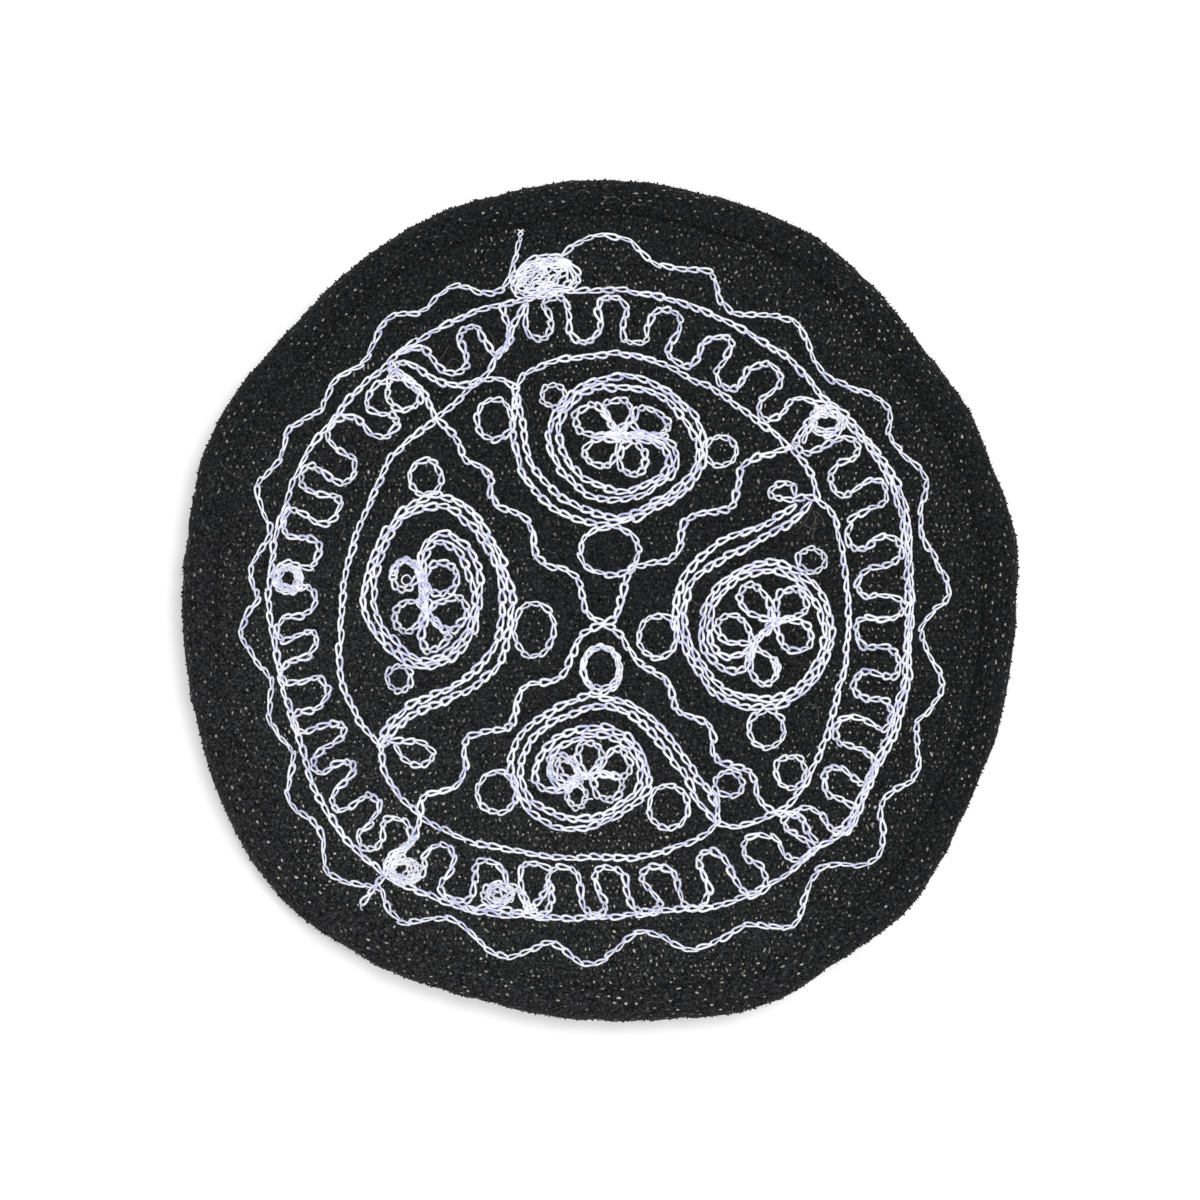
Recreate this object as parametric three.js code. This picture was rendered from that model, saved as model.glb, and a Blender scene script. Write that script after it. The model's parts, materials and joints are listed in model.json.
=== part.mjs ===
// A pakol: a soft round wool cap with a flat crown and a rolled brim, resting on the brim.
// Units are millimetres, +Z is up, and the origin is the middle of the face that the brim rests on.
import * as THREE from "three";

// Driving dimensions.
const headGirth = 580; // length round the opening that the head goes into
const brimWidth = 30; // across the roll, from the head's side to the outer side
const brimHeight = 38;
const restFlat = 2; // how far the roll's underside is pressed flat where it rests
const overhang = 15.7; // how far the crown's edge stands out past the brim, on average
const neckHeight = 6; // between the top of the brim and the underside of the crown's edge
const edgeHeight = 23; // the soft edge, from its underside up to the top panel's seam
const edgeBulge = 1.6; // how far the edge swells above the seam beside it
const seamInset = 13; // the top panel's seam lies this far inside the outline
const seamDip = 1.4; // depth of the crease that the seam makes in the top
const crownRise = 5; // how far the middle of the top panel stands above its edge
const clothThickness = 2; // thickness of the wool cloth
const clearance = 0.3; // between two pieces that are sewn or laid together
const tuckAngle = 106; // where the side runs into the roll, in degrees round its section from the outer side

// Shares that shape the sections.
const shares = {
  rimLevel: 0.55, // the widest part of the edge, of edgeHeight from its underside up
  evenTop: 0.3, // the top panel keeps round and even out to here, of seamRadius
  seamCrease: 0.9, // the crease at the seam starts here, of seamRadius
  outlineFades: 0.55, // of the way down the side, where it starts to leave the crown's outline
  foldsBegin: 0.35, // of the way down the side
  rollBegins: 0.7, // of the way down the side, where it starts to follow the roll
};
// How far the handles of the side's curves reach.
const handles = {
  seam: 0.3, // outwards from the seam, of seamInset
  shoulder: 0.35, // outwards from the edge's highest line, of seamInset
  rimUp: 0.25, // of edgeHeight
  rimDown: 0.4, // of edgeHeight
  under: 0.5, // along the underside, of the half of it beside the handle
  underRise: 0.04, // of edgeHeight, over that length
  tuck: 0.35, // back from the roll, of the inner half of the underside
};

// How finely the surfaces are cut into flat faces.
const stepsRound = 72;
const stepsAcrossTop = 9;
const stepsDownSide = 15;
const stepsRoundRoll = 26;

// The crown's outline seen from above: reach is a share of crownReach, lift a share of edgeHeight.
// Angles run from +X towards +Y, in degrees.
const outlineRows = [
  { at: 0, reach: 0.988, lift: 0.01 },
  { at: 8, reach: 0.998, lift: 0.03 },
  { at: 17, reach: 0.985, lift: 0.05 },
  { at: 27, reach: 0.986, lift: 0.02 },
  { at: 38, reach: 0.973, lift: -0.02 },
  { at: 50, reach: 0.988, lift: -0.05 },
  { at: 60, reach: 1.004, lift: -0.03 },
  { at: 75, reach: 0.994, lift: 0.03 },
  { at: 90, reach: 0.997, lift: 0.05 },
  { at: 105, reach: 0.988, lift: 0.01 },
  { at: 120, reach: 0.987, lift: -0.04 },
  { at: 138, reach: 0.977, lift: -0.05 },
  { at: 150, reach: 0.992, lift: 0.02 },
  { at: 159, reach: 1.001, lift: 0.08 },
  { at: 171, reach: 0.99, lift: -0.04 },
  { at: 182, reach: 0.99, lift: 0.0 },
  { at: 193, reach: 0.995, lift: 0.04 },
  { at: 203, reach: 1.01, lift: -0.04 },
  { at: 213, reach: 1.025, lift: 0.02 },
  { at: 225, reach: 1.033, lift: 0.08 },
  { at: 232, reach: 1.022, lift: 0.07 },
  { at: 240, reach: 1.014, lift: 0.04 },
  { at: 255, reach: 0.989, lift: -0.04 },
  { at: 263, reach: 0.996, lift: -0.04 },
  { at: 272, reach: 1.001, lift: -0.03 },
  { at: 280, reach: 1.009, lift: 0.02 },
  { at: 287, reach: 1.027, lift: 0.05 },
  { at: 296, reach: 1.035, lift: 0.06 },
  { at: 304, reach: 1.027, lift: 0.01 },
  { at: 315, reach: 1.034, lift: 0.03 },
  { at: 331, reach: 1.001, lift: 0.05 },
  { at: 341, reach: 0.998, lift: 0.0 },
  { at: 348, reach: 0.992, lift: -0.05 },
];

// The roll's unevenness: swell is a share of its section, drift moves it outwards by a share of brimWidth.
const brimRows = [
  { at: 8, swell: 0.02, drift: 0.02 },
  { at: 42, swell: -0.03, drift: -0.01 },
  { at: 78, swell: 0.03, drift: -0.03 },
  { at: 118, swell: -0.01, drift: 0.0 },
  { at: 151, swell: 0.04, drift: 0.03 },
  { at: 190, swell: -0.03, drift: 0.01 },
  { at: 226, swell: 0.02, drift: -0.02 },
  { at: 259, swell: -0.02, drift: -0.03 },
  { at: 291, swell: 0.03, drift: 0.01 },
  { at: 330, swell: -0.03, drift: 0.03 },
];

// Soft folds in the side where its width is eased into the roll.
// Depth is a share of neckHeight, positive outwards, and spread is the half width in degrees.
const foldRows = [
  { at: 16, spread: 15, depth: 0.28 },
  { at: 47, spread: 14, depth: -0.24 },
  { at: 83, spread: 17, depth: 0.32 },
  { at: 121, spread: 15, depth: -0.28 },
  { at: 148, spread: 13, depth: 0.24 },
  { at: 177, spread: 15, depth: -0.2 },
  { at: 208, spread: 16, depth: 0.32 },
  { at: 241, spread: 14, depth: -0.28 },
  { at: 274, spread: 17, depth: 0.24 },
  { at: 309, spread: 15, depth: -0.24 },
  { at: 340, spread: 13, depth: 0.2 },
];

// The roll is wound: its outermost turn starts at the tuck and comes in by one cloth's thickness.
const winding = (degrees) =>
  clothThickness * (1 - THREE.MathUtils.euclideanModulo(degrees - tuckAngle, 360) / 360);

// Sizes that follow from the driving dimensions.
const rollHalfWidth = (brimWidth - winding(0) - winding(180)) / 2;
const rollHalfHeight = (brimHeight + restFlat - winding(90) - winding(270)) / 2;
const rollMiddle = headGirth / (2 * Math.PI) + winding(180) + rollHalfWidth;
const rollLevel = rollHalfHeight + winding(270) - restFlat;
const crownReach = headGirth / (2 * Math.PI) + brimWidth + overhang;
const undersideHeight = brimHeight + neckHeight;
const seamRadius = crownReach - seamInset;
const seamHeight = undersideHeight + edgeHeight;

const radians = THREE.MathUtils.degToRad;
const smooth = THREE.MathUtils.smoothstep;

// A smooth closed curve through one column of a table, as a function of the angle in degrees.
function around(rows, column) {
  const count = rows.length;
  const angle = (i) => rows[(i + count) % count].at + 360 * Math.floor(i / count);
  const value = (i) => rows[(i + count) % count][column];
  const slope = (i) => (value(i + 1) - value(i - 1)) / (angle(i + 1) - angle(i - 1));
  return (degrees) => {
    const turn = rows[0].at + THREE.MathUtils.euclideanModulo(degrees - rows[0].at, 360);
    let i = 0;
    while (angle(i + 1) <= turn) i += 1;
    const span = angle(i + 1) - angle(i);
    const t = (turn - angle(i)) / span;
    const rise = t * t * (3 - 2 * t);
    const leave = t * (1 - t) * (1 - t) * span * slope(i);
    const arrive = t * t * (t - 1) * span * slope(i + 1);
    return value(i) + (value(i + 1) - value(i)) * rise + leave + arrive;
  };
}

const outlineReach = around(outlineRows, "reach");
const outlineLift = around(outlineRows, "lift");
const brimSwell = around(brimRows, "swell");
const brimDrift = around(brimRows, "drift");

// The sum of the folds in the side at an angle, in millimetres.
function foldDepth(degrees) {
  return foldRows.reduce((sum, fold) => {
    const away = Math.abs(THREE.MathUtils.euclideanModulo(degrees - fold.at + 180, 360) - 180);
    return sum + neckHeight * fold.depth * (1 - smooth(away, 0, fold.spread));
  }, 0);
}

// The closed section of a wall of cloth whose outer face follows a path. The path runs outwards or
// down, and its inner face lies one thickness inside it. Each point also holds the way out, as a unit.
function wall(path) {
  const outer = path.map((point, i) => {
    const before = path[Math.max(i - 1, 0)];
    const after = path[Math.min(i + 1, path.length - 1)];
    const along = new THREE.Vector2(after.r - before.r, after.z - before.z).normalize();
    return { ...point, outR: -along.y, outZ: along.x };
  });
  const inner = outer.map((point) => ({
    ...point,
    r: Math.max(point.r - point.outR * clothThickness, 0),
    z: point.z - point.outZ * clothThickness,
  }));
  return [...inner, ...outer.reverse()];
}

// A closed section turned round the Z axis, then bent at each angle by its points' own shares:
// outline follows the crown's outline, roll the roll's unevenness, and fold the side's folds.
function turned(section) {
  const geometry = new THREE.LatheGeometry(
    section.map((point) => new THREE.Vector2(point.r, point.z)),
    stepsRound,
  );
  geometry.rotateX(Math.PI / 2);
  const position = geometry.getAttribute("position");
  for (let i = 0; i < position.count; i += 1) {
    const point = section[i % section.length];
    const turn = (Math.floor(i / section.length) % stepsRound) * (360 / stepsRound);
    const degrees = turn - 90;
    const swell = brimSwell(degrees) * point.roll;
    const fold = foldDepth(degrees) * point.fold;
    const reach =
      point.r * (1 + (outlineReach(degrees) - 1) * point.outline) +
      (point.r - rollMiddle) * swell +
      brimDrift(degrees) * brimWidth * point.roll +
      fold * point.outR;
    const height =
      point.z * (1 + swell) + outlineLift(degrees) * edgeHeight * point.outline + fold * point.outZ;
    position.setXYZ(i, reach * Math.cos(radians(degrees)), reach * Math.sin(radians(degrees)), height);
  }
  return geometry;
}

// The flat round panel on top. Its edge dips into the seam.
function topPanel() {
  const face = [];
  for (let i = 0; i <= stepsAcrossTop; i += 1) {
    const out = i / stepsAcrossTop;
    face.push({
      r: seamRadius * out,
      z: seamHeight + crownRise * (1 - out * out) - seamDip * smooth(out, shares.seamCrease, 1),
      outline: smooth(out, shares.evenTop, 1),
      roll: 0,
      fold: 0,
    });
  }
  return turned(wall(face));
}

// The point on the roll's section at an angle in degrees, moved out by a distance.
function rollPoint(degrees, out) {
  return new THREE.Vector2(
    rollMiddle + (rollHalfWidth + out) * Math.cos(radians(degrees)),
    rollLevel + (rollHalfHeight + out) * Math.sin(radians(degrees)),
  );
}

// The side of the crown: from the top panel's seam, over the soft edge, and in under it to the roll.
function sidePanel() {
  const point = (r, z) => new THREE.Vector2(r, z);
  const seam = point(seamRadius + clearance, seamHeight - seamDip);
  const shoulder = point(crownReach - seamInset / 2, seamHeight + edgeBulge);
  const rim = point(crownReach, undersideHeight + edgeHeight * shares.rimLevel);
  const underHalf = (crownReach - rollMiddle) / 2;
  const under = point(crownReach - underHalf, undersideHeight);
  const beside = rollPoint(tuckAngle, clearance);
  const back = beside.clone().sub(rollPoint(tuckAngle + 1, clearance)).normalize();
  const tuck = beside.addScaledVector(back, clearance);

  const path = new THREE.CurvePath();
  path.add(new THREE.QuadraticBezierCurve(
    seam,
    point(seam.x + seamInset * handles.seam, shoulder.y),
    shoulder,
  ));
  path.add(new THREE.CubicBezierCurve(
    shoulder,
    point(shoulder.x + seamInset * handles.shoulder, shoulder.y),
    point(rim.x, rim.y + edgeHeight * handles.rimUp),
    rim,
  ));
  path.add(new THREE.CubicBezierCurve(
    rim,
    point(rim.x, rim.y - edgeHeight * handles.rimDown),
    point(under.x + underHalf * handles.under, under.y + edgeHeight * handles.underRise),
    under,
  ));
  path.add(new THREE.CubicBezierCurve(
    under,
    point(under.x - underHalf * handles.under, under.y - edgeHeight * handles.underRise),
    tuck.clone().addScaledVector(back, underHalf * handles.tuck),
    tuck,
  ));

  const face = path.getSpacedPoints(stepsDownSide).map((at, i) => {
    const down = i / stepsDownSide;
    return {
      r: at.x,
      z: at.y,
      outline: 1 - smooth(down, shares.outlineFades, 1),
      roll: smooth(down, shares.rollBegins, 1),
      fold: Math.sin(Math.PI * smooth(down, shares.foldsBegin, 1)),
    };
  });
  const section = wall(face);
  return turned([...section, section[0]]);
}

// The brim: the lower part of the side, wound outwards and up into a roll.
// It starts and ends at the tuck, in a step as high as the cloth is thick.
function rolledBrim() {
  const section = [];
  for (let i = 0; i <= stepsRoundRoll; i += 1) {
    const wound = i / stepsRoundRoll;
    const at = rollPoint(tuckAngle + 360 * wound, clothThickness * (1 - wound));
    section.push({ r: at.x, z: Math.max(at.y, 0), outline: 0, roll: 1, fold: 0, outR: 0, outZ: 0 });
  }
  return turned([...section, section[0]]);
}

// A named piece in its own black wool.
function piece(name, geometry, color) {
  const wool = new THREE.MeshStandardMaterial({ color, roughness: 0.95, metalness: 0 });
  const mesh = new THREE.Mesh(geometry, wool);
  mesh.name = name;
  return mesh;
}

const cap = new THREE.Group();
cap.add(
  piece("crown_top", topPanel(), 0x1c1d1e),
  piece("crown_side", sidePanel(), 0x1e1f21),
  piece("rolled_brim", rolledBrim(), 0x1d1e20),
);

export default cap;
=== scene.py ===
"""A pakol: a soft round cap of black wool with an embroidered flat crown and a rolled brim.

It lies on its brim. Shapes are worked out in millimetres on the cap's own axes and become metres where a
mesh is made.
"""

import json
import math

import bpy
import numpy as np
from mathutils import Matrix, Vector
from mathutils.bvhtree import BVHTree
from mathutils.kdtree import KDTree

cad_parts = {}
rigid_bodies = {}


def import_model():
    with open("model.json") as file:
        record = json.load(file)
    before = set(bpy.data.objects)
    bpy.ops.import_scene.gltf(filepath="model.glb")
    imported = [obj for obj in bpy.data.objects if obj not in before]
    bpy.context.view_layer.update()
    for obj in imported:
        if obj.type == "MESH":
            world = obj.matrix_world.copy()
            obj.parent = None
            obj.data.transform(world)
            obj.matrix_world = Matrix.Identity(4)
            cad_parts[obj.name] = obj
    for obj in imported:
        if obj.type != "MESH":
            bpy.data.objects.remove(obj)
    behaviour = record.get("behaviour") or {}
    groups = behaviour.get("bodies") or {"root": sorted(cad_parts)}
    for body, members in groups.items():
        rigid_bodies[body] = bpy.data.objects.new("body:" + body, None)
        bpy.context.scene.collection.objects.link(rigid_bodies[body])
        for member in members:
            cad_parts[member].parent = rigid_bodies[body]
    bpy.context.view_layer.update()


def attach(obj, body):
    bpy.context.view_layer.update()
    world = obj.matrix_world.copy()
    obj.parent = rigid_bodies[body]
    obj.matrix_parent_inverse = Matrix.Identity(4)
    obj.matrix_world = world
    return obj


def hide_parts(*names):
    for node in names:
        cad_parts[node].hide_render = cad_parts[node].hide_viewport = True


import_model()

MM = 0.001

# The cap's driving dimensions, the same as those of its solids.
HEAD_GIRTH = 580.0
BRIM_WIDTH = 30.0
BRIM_HEIGHT = 38.0
REST_FLAT = 2.0
OVERHANG = 15.7
NECK_HEIGHT = 6.0
EDGE_HEIGHT = 23.0
EDGE_BULGE = 1.6
SEAM_INSET = 13.0
SEAM_DIP = 1.4
CROWN_RISE = 5.0
CLOTH_THICKNESS = 2.0
CLEARANCE = 0.3
TUCK_ANGLE = 106.0
RIM_LEVEL = 0.55
# The share of the crown's radius past which it dips to its seam.
DIP_START = 0.9

# Handles of the side's curves, as shares of the size that each one follows.
SEAM_HANDLE = 0.3
SHOULDER_HANDLE = 0.35
RIM_UP_HANDLE = 0.25
RIM_DOWN_HANDLE = 0.4
UNDER_HANDLE = 0.5
UNDER_RISE = 0.04
TUCK_HANDLE = 0.35
# Points along each curve of the soft edge, and of the way in under it.
EDGE_POINTS, UNDER_POINTS = 40, 60

# The crown's uneven outline: degrees round the cap, share of the reach, lift as a share of the edge's height.
OUTLINE = np.array([
    [0, 0.988, 0.01], [8, 0.998, 0.03], [17, 0.985, 0.05], [27, 0.986, 0.02], [38, 0.973, -0.02],
    [50, 0.988, -0.05], [60, 1.004, -0.03], [75, 0.994, 0.03], [90, 0.997, 0.05], [105, 0.988, 0.01],
    [120, 0.987, -0.04], [138, 0.977, -0.05], [150, 0.992, 0.02], [159, 1.001, 0.08], [171, 0.99, -0.04],
    [182, 0.99, 0.0], [193, 0.995, 0.04], [203, 1.01, -0.04], [213, 1.025, 0.02], [225, 1.033, 0.08],
    [232, 1.022, 0.07], [240, 1.014, 0.04], [255, 0.989, -0.04], [263, 0.996, -0.04], [272, 1.001, -0.03],
    [280, 1.009, 0.02], [287, 1.027, 0.05], [296, 1.035, 0.06], [304, 1.027, 0.01], [315, 1.034, 0.03],
    [331, 1.001, 0.05], [341, 0.998, 0.0], [348, 0.992, -0.05],
])
# The brim's unevenness: degrees, swelling of the roll, drift outwards as a share of its width.
BRIM = np.array([
    [8, 0.02, 0.02], [42, -0.03, -0.01], [78, 0.03, -0.03], [118, -0.01, 0.0], [151, 0.04, 0.03],
    [190, -0.03, 0.01], [226, 0.02, -0.02], [259, -0.02, -0.03], [291, 0.03, 0.01], [330, -0.03, 0.03],
])
# Soft folds under the crown's edge: degrees, spread in degrees, depth as a share of the neck's height.
FOLDS = np.array([
    [16, 15, 0.28], [47, 14, -0.24], [83, 17, 0.32], [121, 15, -0.28], [148, 13, 0.24], [177, 15, -0.2],
    [208, 16, 0.32], [241, 14, -0.28], [274, 17, 0.24], [309, 15, -0.24], [340, 13, 0.2],
])


def winding(degrees):
    """How far the roll's face lies inside its outermost turn, one cloth deeper after a full turn."""
    return CLOTH_THICKNESS * (1 - np.mod(degrees - TUCK_ANGLE, 360) / 360)


ROLL_HALF_WIDTH = (BRIM_WIDTH - winding(0) - winding(180)) / 2
ROLL_HALF_HEIGHT = (BRIM_HEIGHT + REST_FLAT - winding(90) - winding(270)) / 2
ROLL_MIDDLE = HEAD_GIRTH / (2 * math.pi) + winding(180) + ROLL_HALF_WIDTH
ROLL_LEVEL = ROLL_HALF_HEIGHT + winding(270) - REST_FLAT
CROWN_REACH = HEAD_GIRTH / (2 * math.pi) + BRIM_WIDTH + OVERHANG
UNDERSIDE_HEIGHT = BRIM_HEIGHT + NECK_HEIGHT
SEAM_RADIUS = CROWN_REACH - SEAM_INSET
SEAM_HEIGHT = UNDERSIDE_HEIGHT + EDGE_HEIGHT


def smoothstep(value, low, high):
    """0 below low, 1 above high and smooth between them."""
    t = np.clip((value - low) / (high - low), 0, 1)
    return t * t * (3 - 2 * t)


def around(rows, column, degrees):
    """A table's column, run smoothly round the cap and closing on itself."""
    at = rows[:, 0]
    value = rows[:, column]
    count = len(at)
    turn = np.mod(degrees - at[0], 360) + at[0]
    here = np.searchsorted(at, turn, side="right") - 1
    after = (here + 1) % count
    ahead = (np.roll(value, -1) - np.roll(value, 1)) / np.mod(np.roll(at, -1) - np.roll(at, 1), 360)
    span = np.mod(at[after] - at[here], 360)
    t = (turn - at[here]) / span
    rise = value[here] + (value[after] - value[here]) * t * t * (3 - 2 * t)
    return rise + t * (1 - t) ** 2 * span * ahead[here] + t * t * (t - 1) * span * ahead[after]


def fold_depth(degrees):
    """How far the soft folds under the crown's edge stand out, in millimetres."""
    depth = np.zeros_like(degrees, dtype=float)
    for at, spread, share in FOLDS:
        off = np.abs(np.mod(degrees - at + 180, 360) - 180)
        depth += NECK_HEIGHT * share * (1 - smoothstep(off, 0, spread))
    return depth


def ripple(points, length, count, seed):
    """A smooth random relief from -1 to about 1: plane waves of about one length in random directions."""
    draw = np.random.default_rng(seed)
    total = np.zeros(points.shape[:-1])
    for _ in range(count):
        direction = draw.normal(size=points.shape[-1])
        direction /= np.linalg.norm(direction)
        wave = 2 * math.pi / (length * draw.uniform(0.7, 1.5))
        total += np.cos(points @ direction * wave + draw.uniform(0, 2 * math.pi))
    return total / math.sqrt(count)


def turned(radius, height, out, outline, roll, fold):
    """A section turned round the cap, in its own uneven measure at each angle.

    The result is an array [section, angle, xyz]. outline, roll and fold are each row's shares in the crown's
    outline, the brim's unevenness and the folds, and out is the way out of the section's face.
    """
    columns = [a[:, None] for a in (radius, height, *out, outline, roll, fold)]
    radius, height, out_r, out_z, outline, roll, fold = columns
    turn = ROUND[None, :]
    swell = around(BRIM, 1, turn) * roll
    depth = fold_depth(turn) * fold
    reach = radius * (1 + (around(OUTLINE, 1, turn) - 1) * outline) + (radius - ROLL_MIDDLE) * swell
    reach = reach + around(BRIM, 2, turn) * BRIM_WIDTH * roll + depth * out_r
    rise = height * (1 + swell) + around(OUTLINE, 2, turn) * EDGE_HEIGHT * outline + depth * out_z
    angle = np.radians(turn)
    return np.stack([reach * np.cos(angle), reach * np.sin(angle), rise], axis=-1)


def facing(grid):
    """The unit normal at each point of a grid that closes round the cap."""
    round_cap = np.roll(grid, -1, axis=1) - np.roll(grid, 1, axis=1)
    normal = np.cross(np.gradient(grid, axis=0), round_cap)
    return normal / np.maximum(np.linalg.norm(normal, axis=-1, keepdims=True), 1e-9)


def in_scene(name, data):
    """An object in the scene, with its data."""
    piece = bpy.data.objects.new(name, data)
    bpy.context.scene.collection.objects.link(piece)
    return piece


def mesh_object(name, points, faces, map_name=None, uv=None):
    """A smooth mesh object from points in millimetres, with a map of a name where it has one."""
    mesh = bpy.data.meshes.new(name)
    mesh.from_pydata((np.asarray(points) * MM).tolist(), [], faces)
    if map_name:
        layer = mesh.uv_layers.new(name=map_name)
        layer.data.foreach_set("uv", np.asarray(uv, dtype=np.float32).ravel())
    mesh.polygons.foreach_set("use_smooth", [True] * len(mesh.polygons))
    mesh.update()
    return in_scene(name, mesh)


def shell(name, grid, place):
    """A closed piece from a section that closes on itself, turned round the cap.

    grid is [section, angle, xyz] in millimetres, and place is [section + 1, angle + 1, 2], its map in metres.
    """
    rows, columns = grid.shape[:2]
    row, column = (a.ravel() for a in np.meshgrid(np.arange(rows), np.arange(columns), indexing="ij"))
    corners = [(row, column), (row + 1, column), (row + 1, column + 1), (row, column + 1)]
    faces = np.stack([r % rows * columns + c % columns for r, c in corners], axis=1)
    uv = np.stack([place[r, c] for r, c in corners], axis=1)
    return mesh_object(name, grid.reshape(-1, 3), faces.tolist(), "cloth", uv)


def edge_round(face, back):
    """Three rows of points that round a cloth's cut edge, from its face to its back."""
    middle = (face[-1] + back[-1]) / 2
    half = (face[-1] - back[-1]) / 2
    forward = face[-1] - face[-2]
    forward = forward - half * (np.sum(forward * half, -1) / np.sum(half * half, -1))[:, None]
    forward *= (np.linalg.norm(half, axis=-1) / np.linalg.norm(forward, axis=-1))[:, None]
    return [middle + half * math.cos(t) + forward * math.sin(t) for t in np.radians([45, 90, 135])]


def run_along(path):
    """The way along a line to each of its points."""
    return np.concatenate([[0], np.cumsum(np.linalg.norm(np.diff(path, axis=0), axis=1))])


# The photograph's frame: the camera's height over the rim, and the pixel that the cap's axis falls on.
PHOTO_SIZE = 1200
AXIS_PIXEL = (599.5, 600.0)
PIXEL = 0.3282
LENS = 100.0
SENSOR = 36.0
RIM_HEIGHT = UNDERSIDE_HEIGHT + EDGE_HEIGHT * RIM_LEVEL
CAMERA_RISE = PHOTO_SIZE * PIXEL * LENS / SENSOR

def crown_height(out):
    """The crown's smooth height at a share of its radius, before its small unevenness."""
    return SEAM_HEIGHT + CROWN_RISE * (1 - out ** 2) - SEAM_DIP * smoothstep(out, DIP_START, 1)


def from_photo(pixels):
    """Places on the crown, in millimetres, of points read in the photograph's pixels."""
    pixels = np.asarray(pixels, dtype=float)
    middle = (PHOTO_SIZE / 2 - AXIS_PIXEL[0]) * PIXEL
    flat = np.stack([pixels[:, 0] - PHOTO_SIZE / 2, AXIS_PIXEL[1] - pixels[:, 1]], axis=1) * PIXEL
    place = flat + (middle, 0)
    for _ in range(3):
        height = crown_height(np.hypot(place[:, 0], place[:, 1]) / SEAM_RADIUS)
        nearer = 1 - (height - RIM_HEIGHT) / CAMERA_RISE
        place = flat * nearer[:, None] + (middle, 0)
    return place


def cubic(start, pull, push, end, count):
    """Points along a cubic Bezier, without its start."""
    t = np.linspace(0, 1, count + 1)[1:, None]
    start, pull, push, end = (np.asarray(p, dtype=float) for p in (start, pull, push, end))
    return start * (1 - t) ** 3 + 3 * pull * t * (1 - t) ** 2 + 3 * push * t * t * (1 - t) + end * t ** 3


def evenly(path, count, cut):
    """A line's points again, count + 1 of them, evenly spaced, with a length cut off both its ends."""
    run = run_along(path)
    at = np.linspace(cut, run[-1] - cut, count + 1)
    return np.stack([np.interp(at, run, path[:, k]) for k in range(path.shape[1])], axis=1)


def roll_point(degrees, out):
    """A point of the roll's face, in radius and height, or as far outside it as out."""
    angle = np.radians(degrees)
    return np.array([
        ROLL_MIDDLE + (ROLL_HALF_WIDTH + out) * np.cos(angle),
        ROLL_LEVEL + (ROLL_HALF_HEIGHT + out) * np.sin(angle),
    ]).T


def side_path(count):
    """The side cloth's outer face, from the seam over the soft edge and in under it to the roll."""
    seam = np.array([SEAM_RADIUS + CLEARANCE, SEAM_HEIGHT - SEAM_DIP])
    shoulder = np.array([CROWN_REACH - SEAM_INSET / 2, SEAM_HEIGHT + EDGE_BULGE])
    rim = np.array([CROWN_REACH, RIM_HEIGHT])
    under_half = (CROWN_REACH - ROLL_MIDDLE) / 2
    under = np.array([CROWN_REACH - under_half, UNDERSIDE_HEIGHT])
    beside = roll_point(TUCK_ANGLE, CLEARANCE)
    back = beside - roll_point(TUCK_ANGLE + 1, CLEARANCE)
    back /= np.linalg.norm(back)
    tuck = beside + back * CLEARANCE
    first = np.array([seam[0] + SEAM_INSET * SEAM_HANDLE, shoulder[1]])
    flatly = np.array([under_half * UNDER_HANDLE, EDGE_HEIGHT * UNDER_RISE])
    curves = [
        (seam, seam + (first - seam) * 2 / 3, shoulder + (first - shoulder) * 2 / 3, shoulder,
         EDGE_POINTS),
        (shoulder, shoulder + (SEAM_INSET * SHOULDER_HANDLE, 0), rim + (0, EDGE_HEIGHT * RIM_UP_HANDLE),
         rim, EDGE_POINTS),
        (rim, rim - (0, EDGE_HEIGHT * RIM_DOWN_HANDLE), under + flatly, under, UNDER_POINTS),
        (under, under - flatly, tuck + back * under_half * TUCK_HANDLE, tuck, UNDER_POINTS),
    ]
    path = np.concatenate([seam[None, :], *(cubic(*curve) for curve in curves)])
    return evenly(path, count, CLOTH_THICKNESS / 2)


def out_of(path):
    """The unit directions out of a section's face, in radius and height."""
    along = np.gradient(path, axis=0)
    along /= np.linalg.norm(along, axis=1, keepdims=True)
    return -along[:, 1], along[:, 0]


# Fineness of the three cloth pieces: points round the cap, points along each section, and the step from row
# to row of the crown top's plainer back.
TURNS = 400
TOP_RINGS = 110
SIDE_RINGS = 84
ROLL_RINGS = 72
BACK_STEP = 3
ROUND = np.arange(TURNS) * 360 / TURNS
# Shares of the crown's reach: its innermost ring, where its relief is full, and where its outline turns uneven.
INNERMOST_RING, RELIEF_IN_FULL, OUTLINE_BEGINS = 0.004, 0.25, 0.3

# The cloths' relief in millimetres, each broad, middling and fine: height, wave length, waves and seed.
TOP_RELIEF = [(0.5, 62.0, 9, 11), (0.2, 17.0, 12, 12), (0.09, 5.0, 14, 13)]
SIDE_RELIEF = [(0.45, 26.0, 12, 21), (0.25, 11.0, 14, 22), (0.18, 4.4, 14, 23)]
BRIM_RELIEF = [(0.8, 24.0, 12, 31), (0.35, 9.0, 14, 32), (0.1, 4.4, 14, 33)]
# The crown is drawn in under its stitches and swells beside them.
DENT_DEPTH, DENT_BREADTH = 0.42, 1.9
SWELL_HEIGHT, SWELL_AWAY, SWELL_BREADTH = 0.16, 4.2, 2.2
# The seam: how far both cloths turn down to it and over what way, the top's lap over the side, and the
# calmer cloth beside it: its breadth, and the share of the relief that it keeps at the seam.
SEAM_TURN_DOWN = 0.25
SEAM_LAP = 1.7
TOP_TURN, SIDE_TURN = 3.0, 2.6
CALM_EDGE, CALM_SHARE = 6.0, 0.2
# The seam's gathers: height, reach as a share of the side's way down, wave length, number of waves, seed.
PUCKER_HEIGHT, PUCKER_REACH = 0.32, 0.13
PUCKER_WAVES = (5.2, 9, 24)
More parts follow.
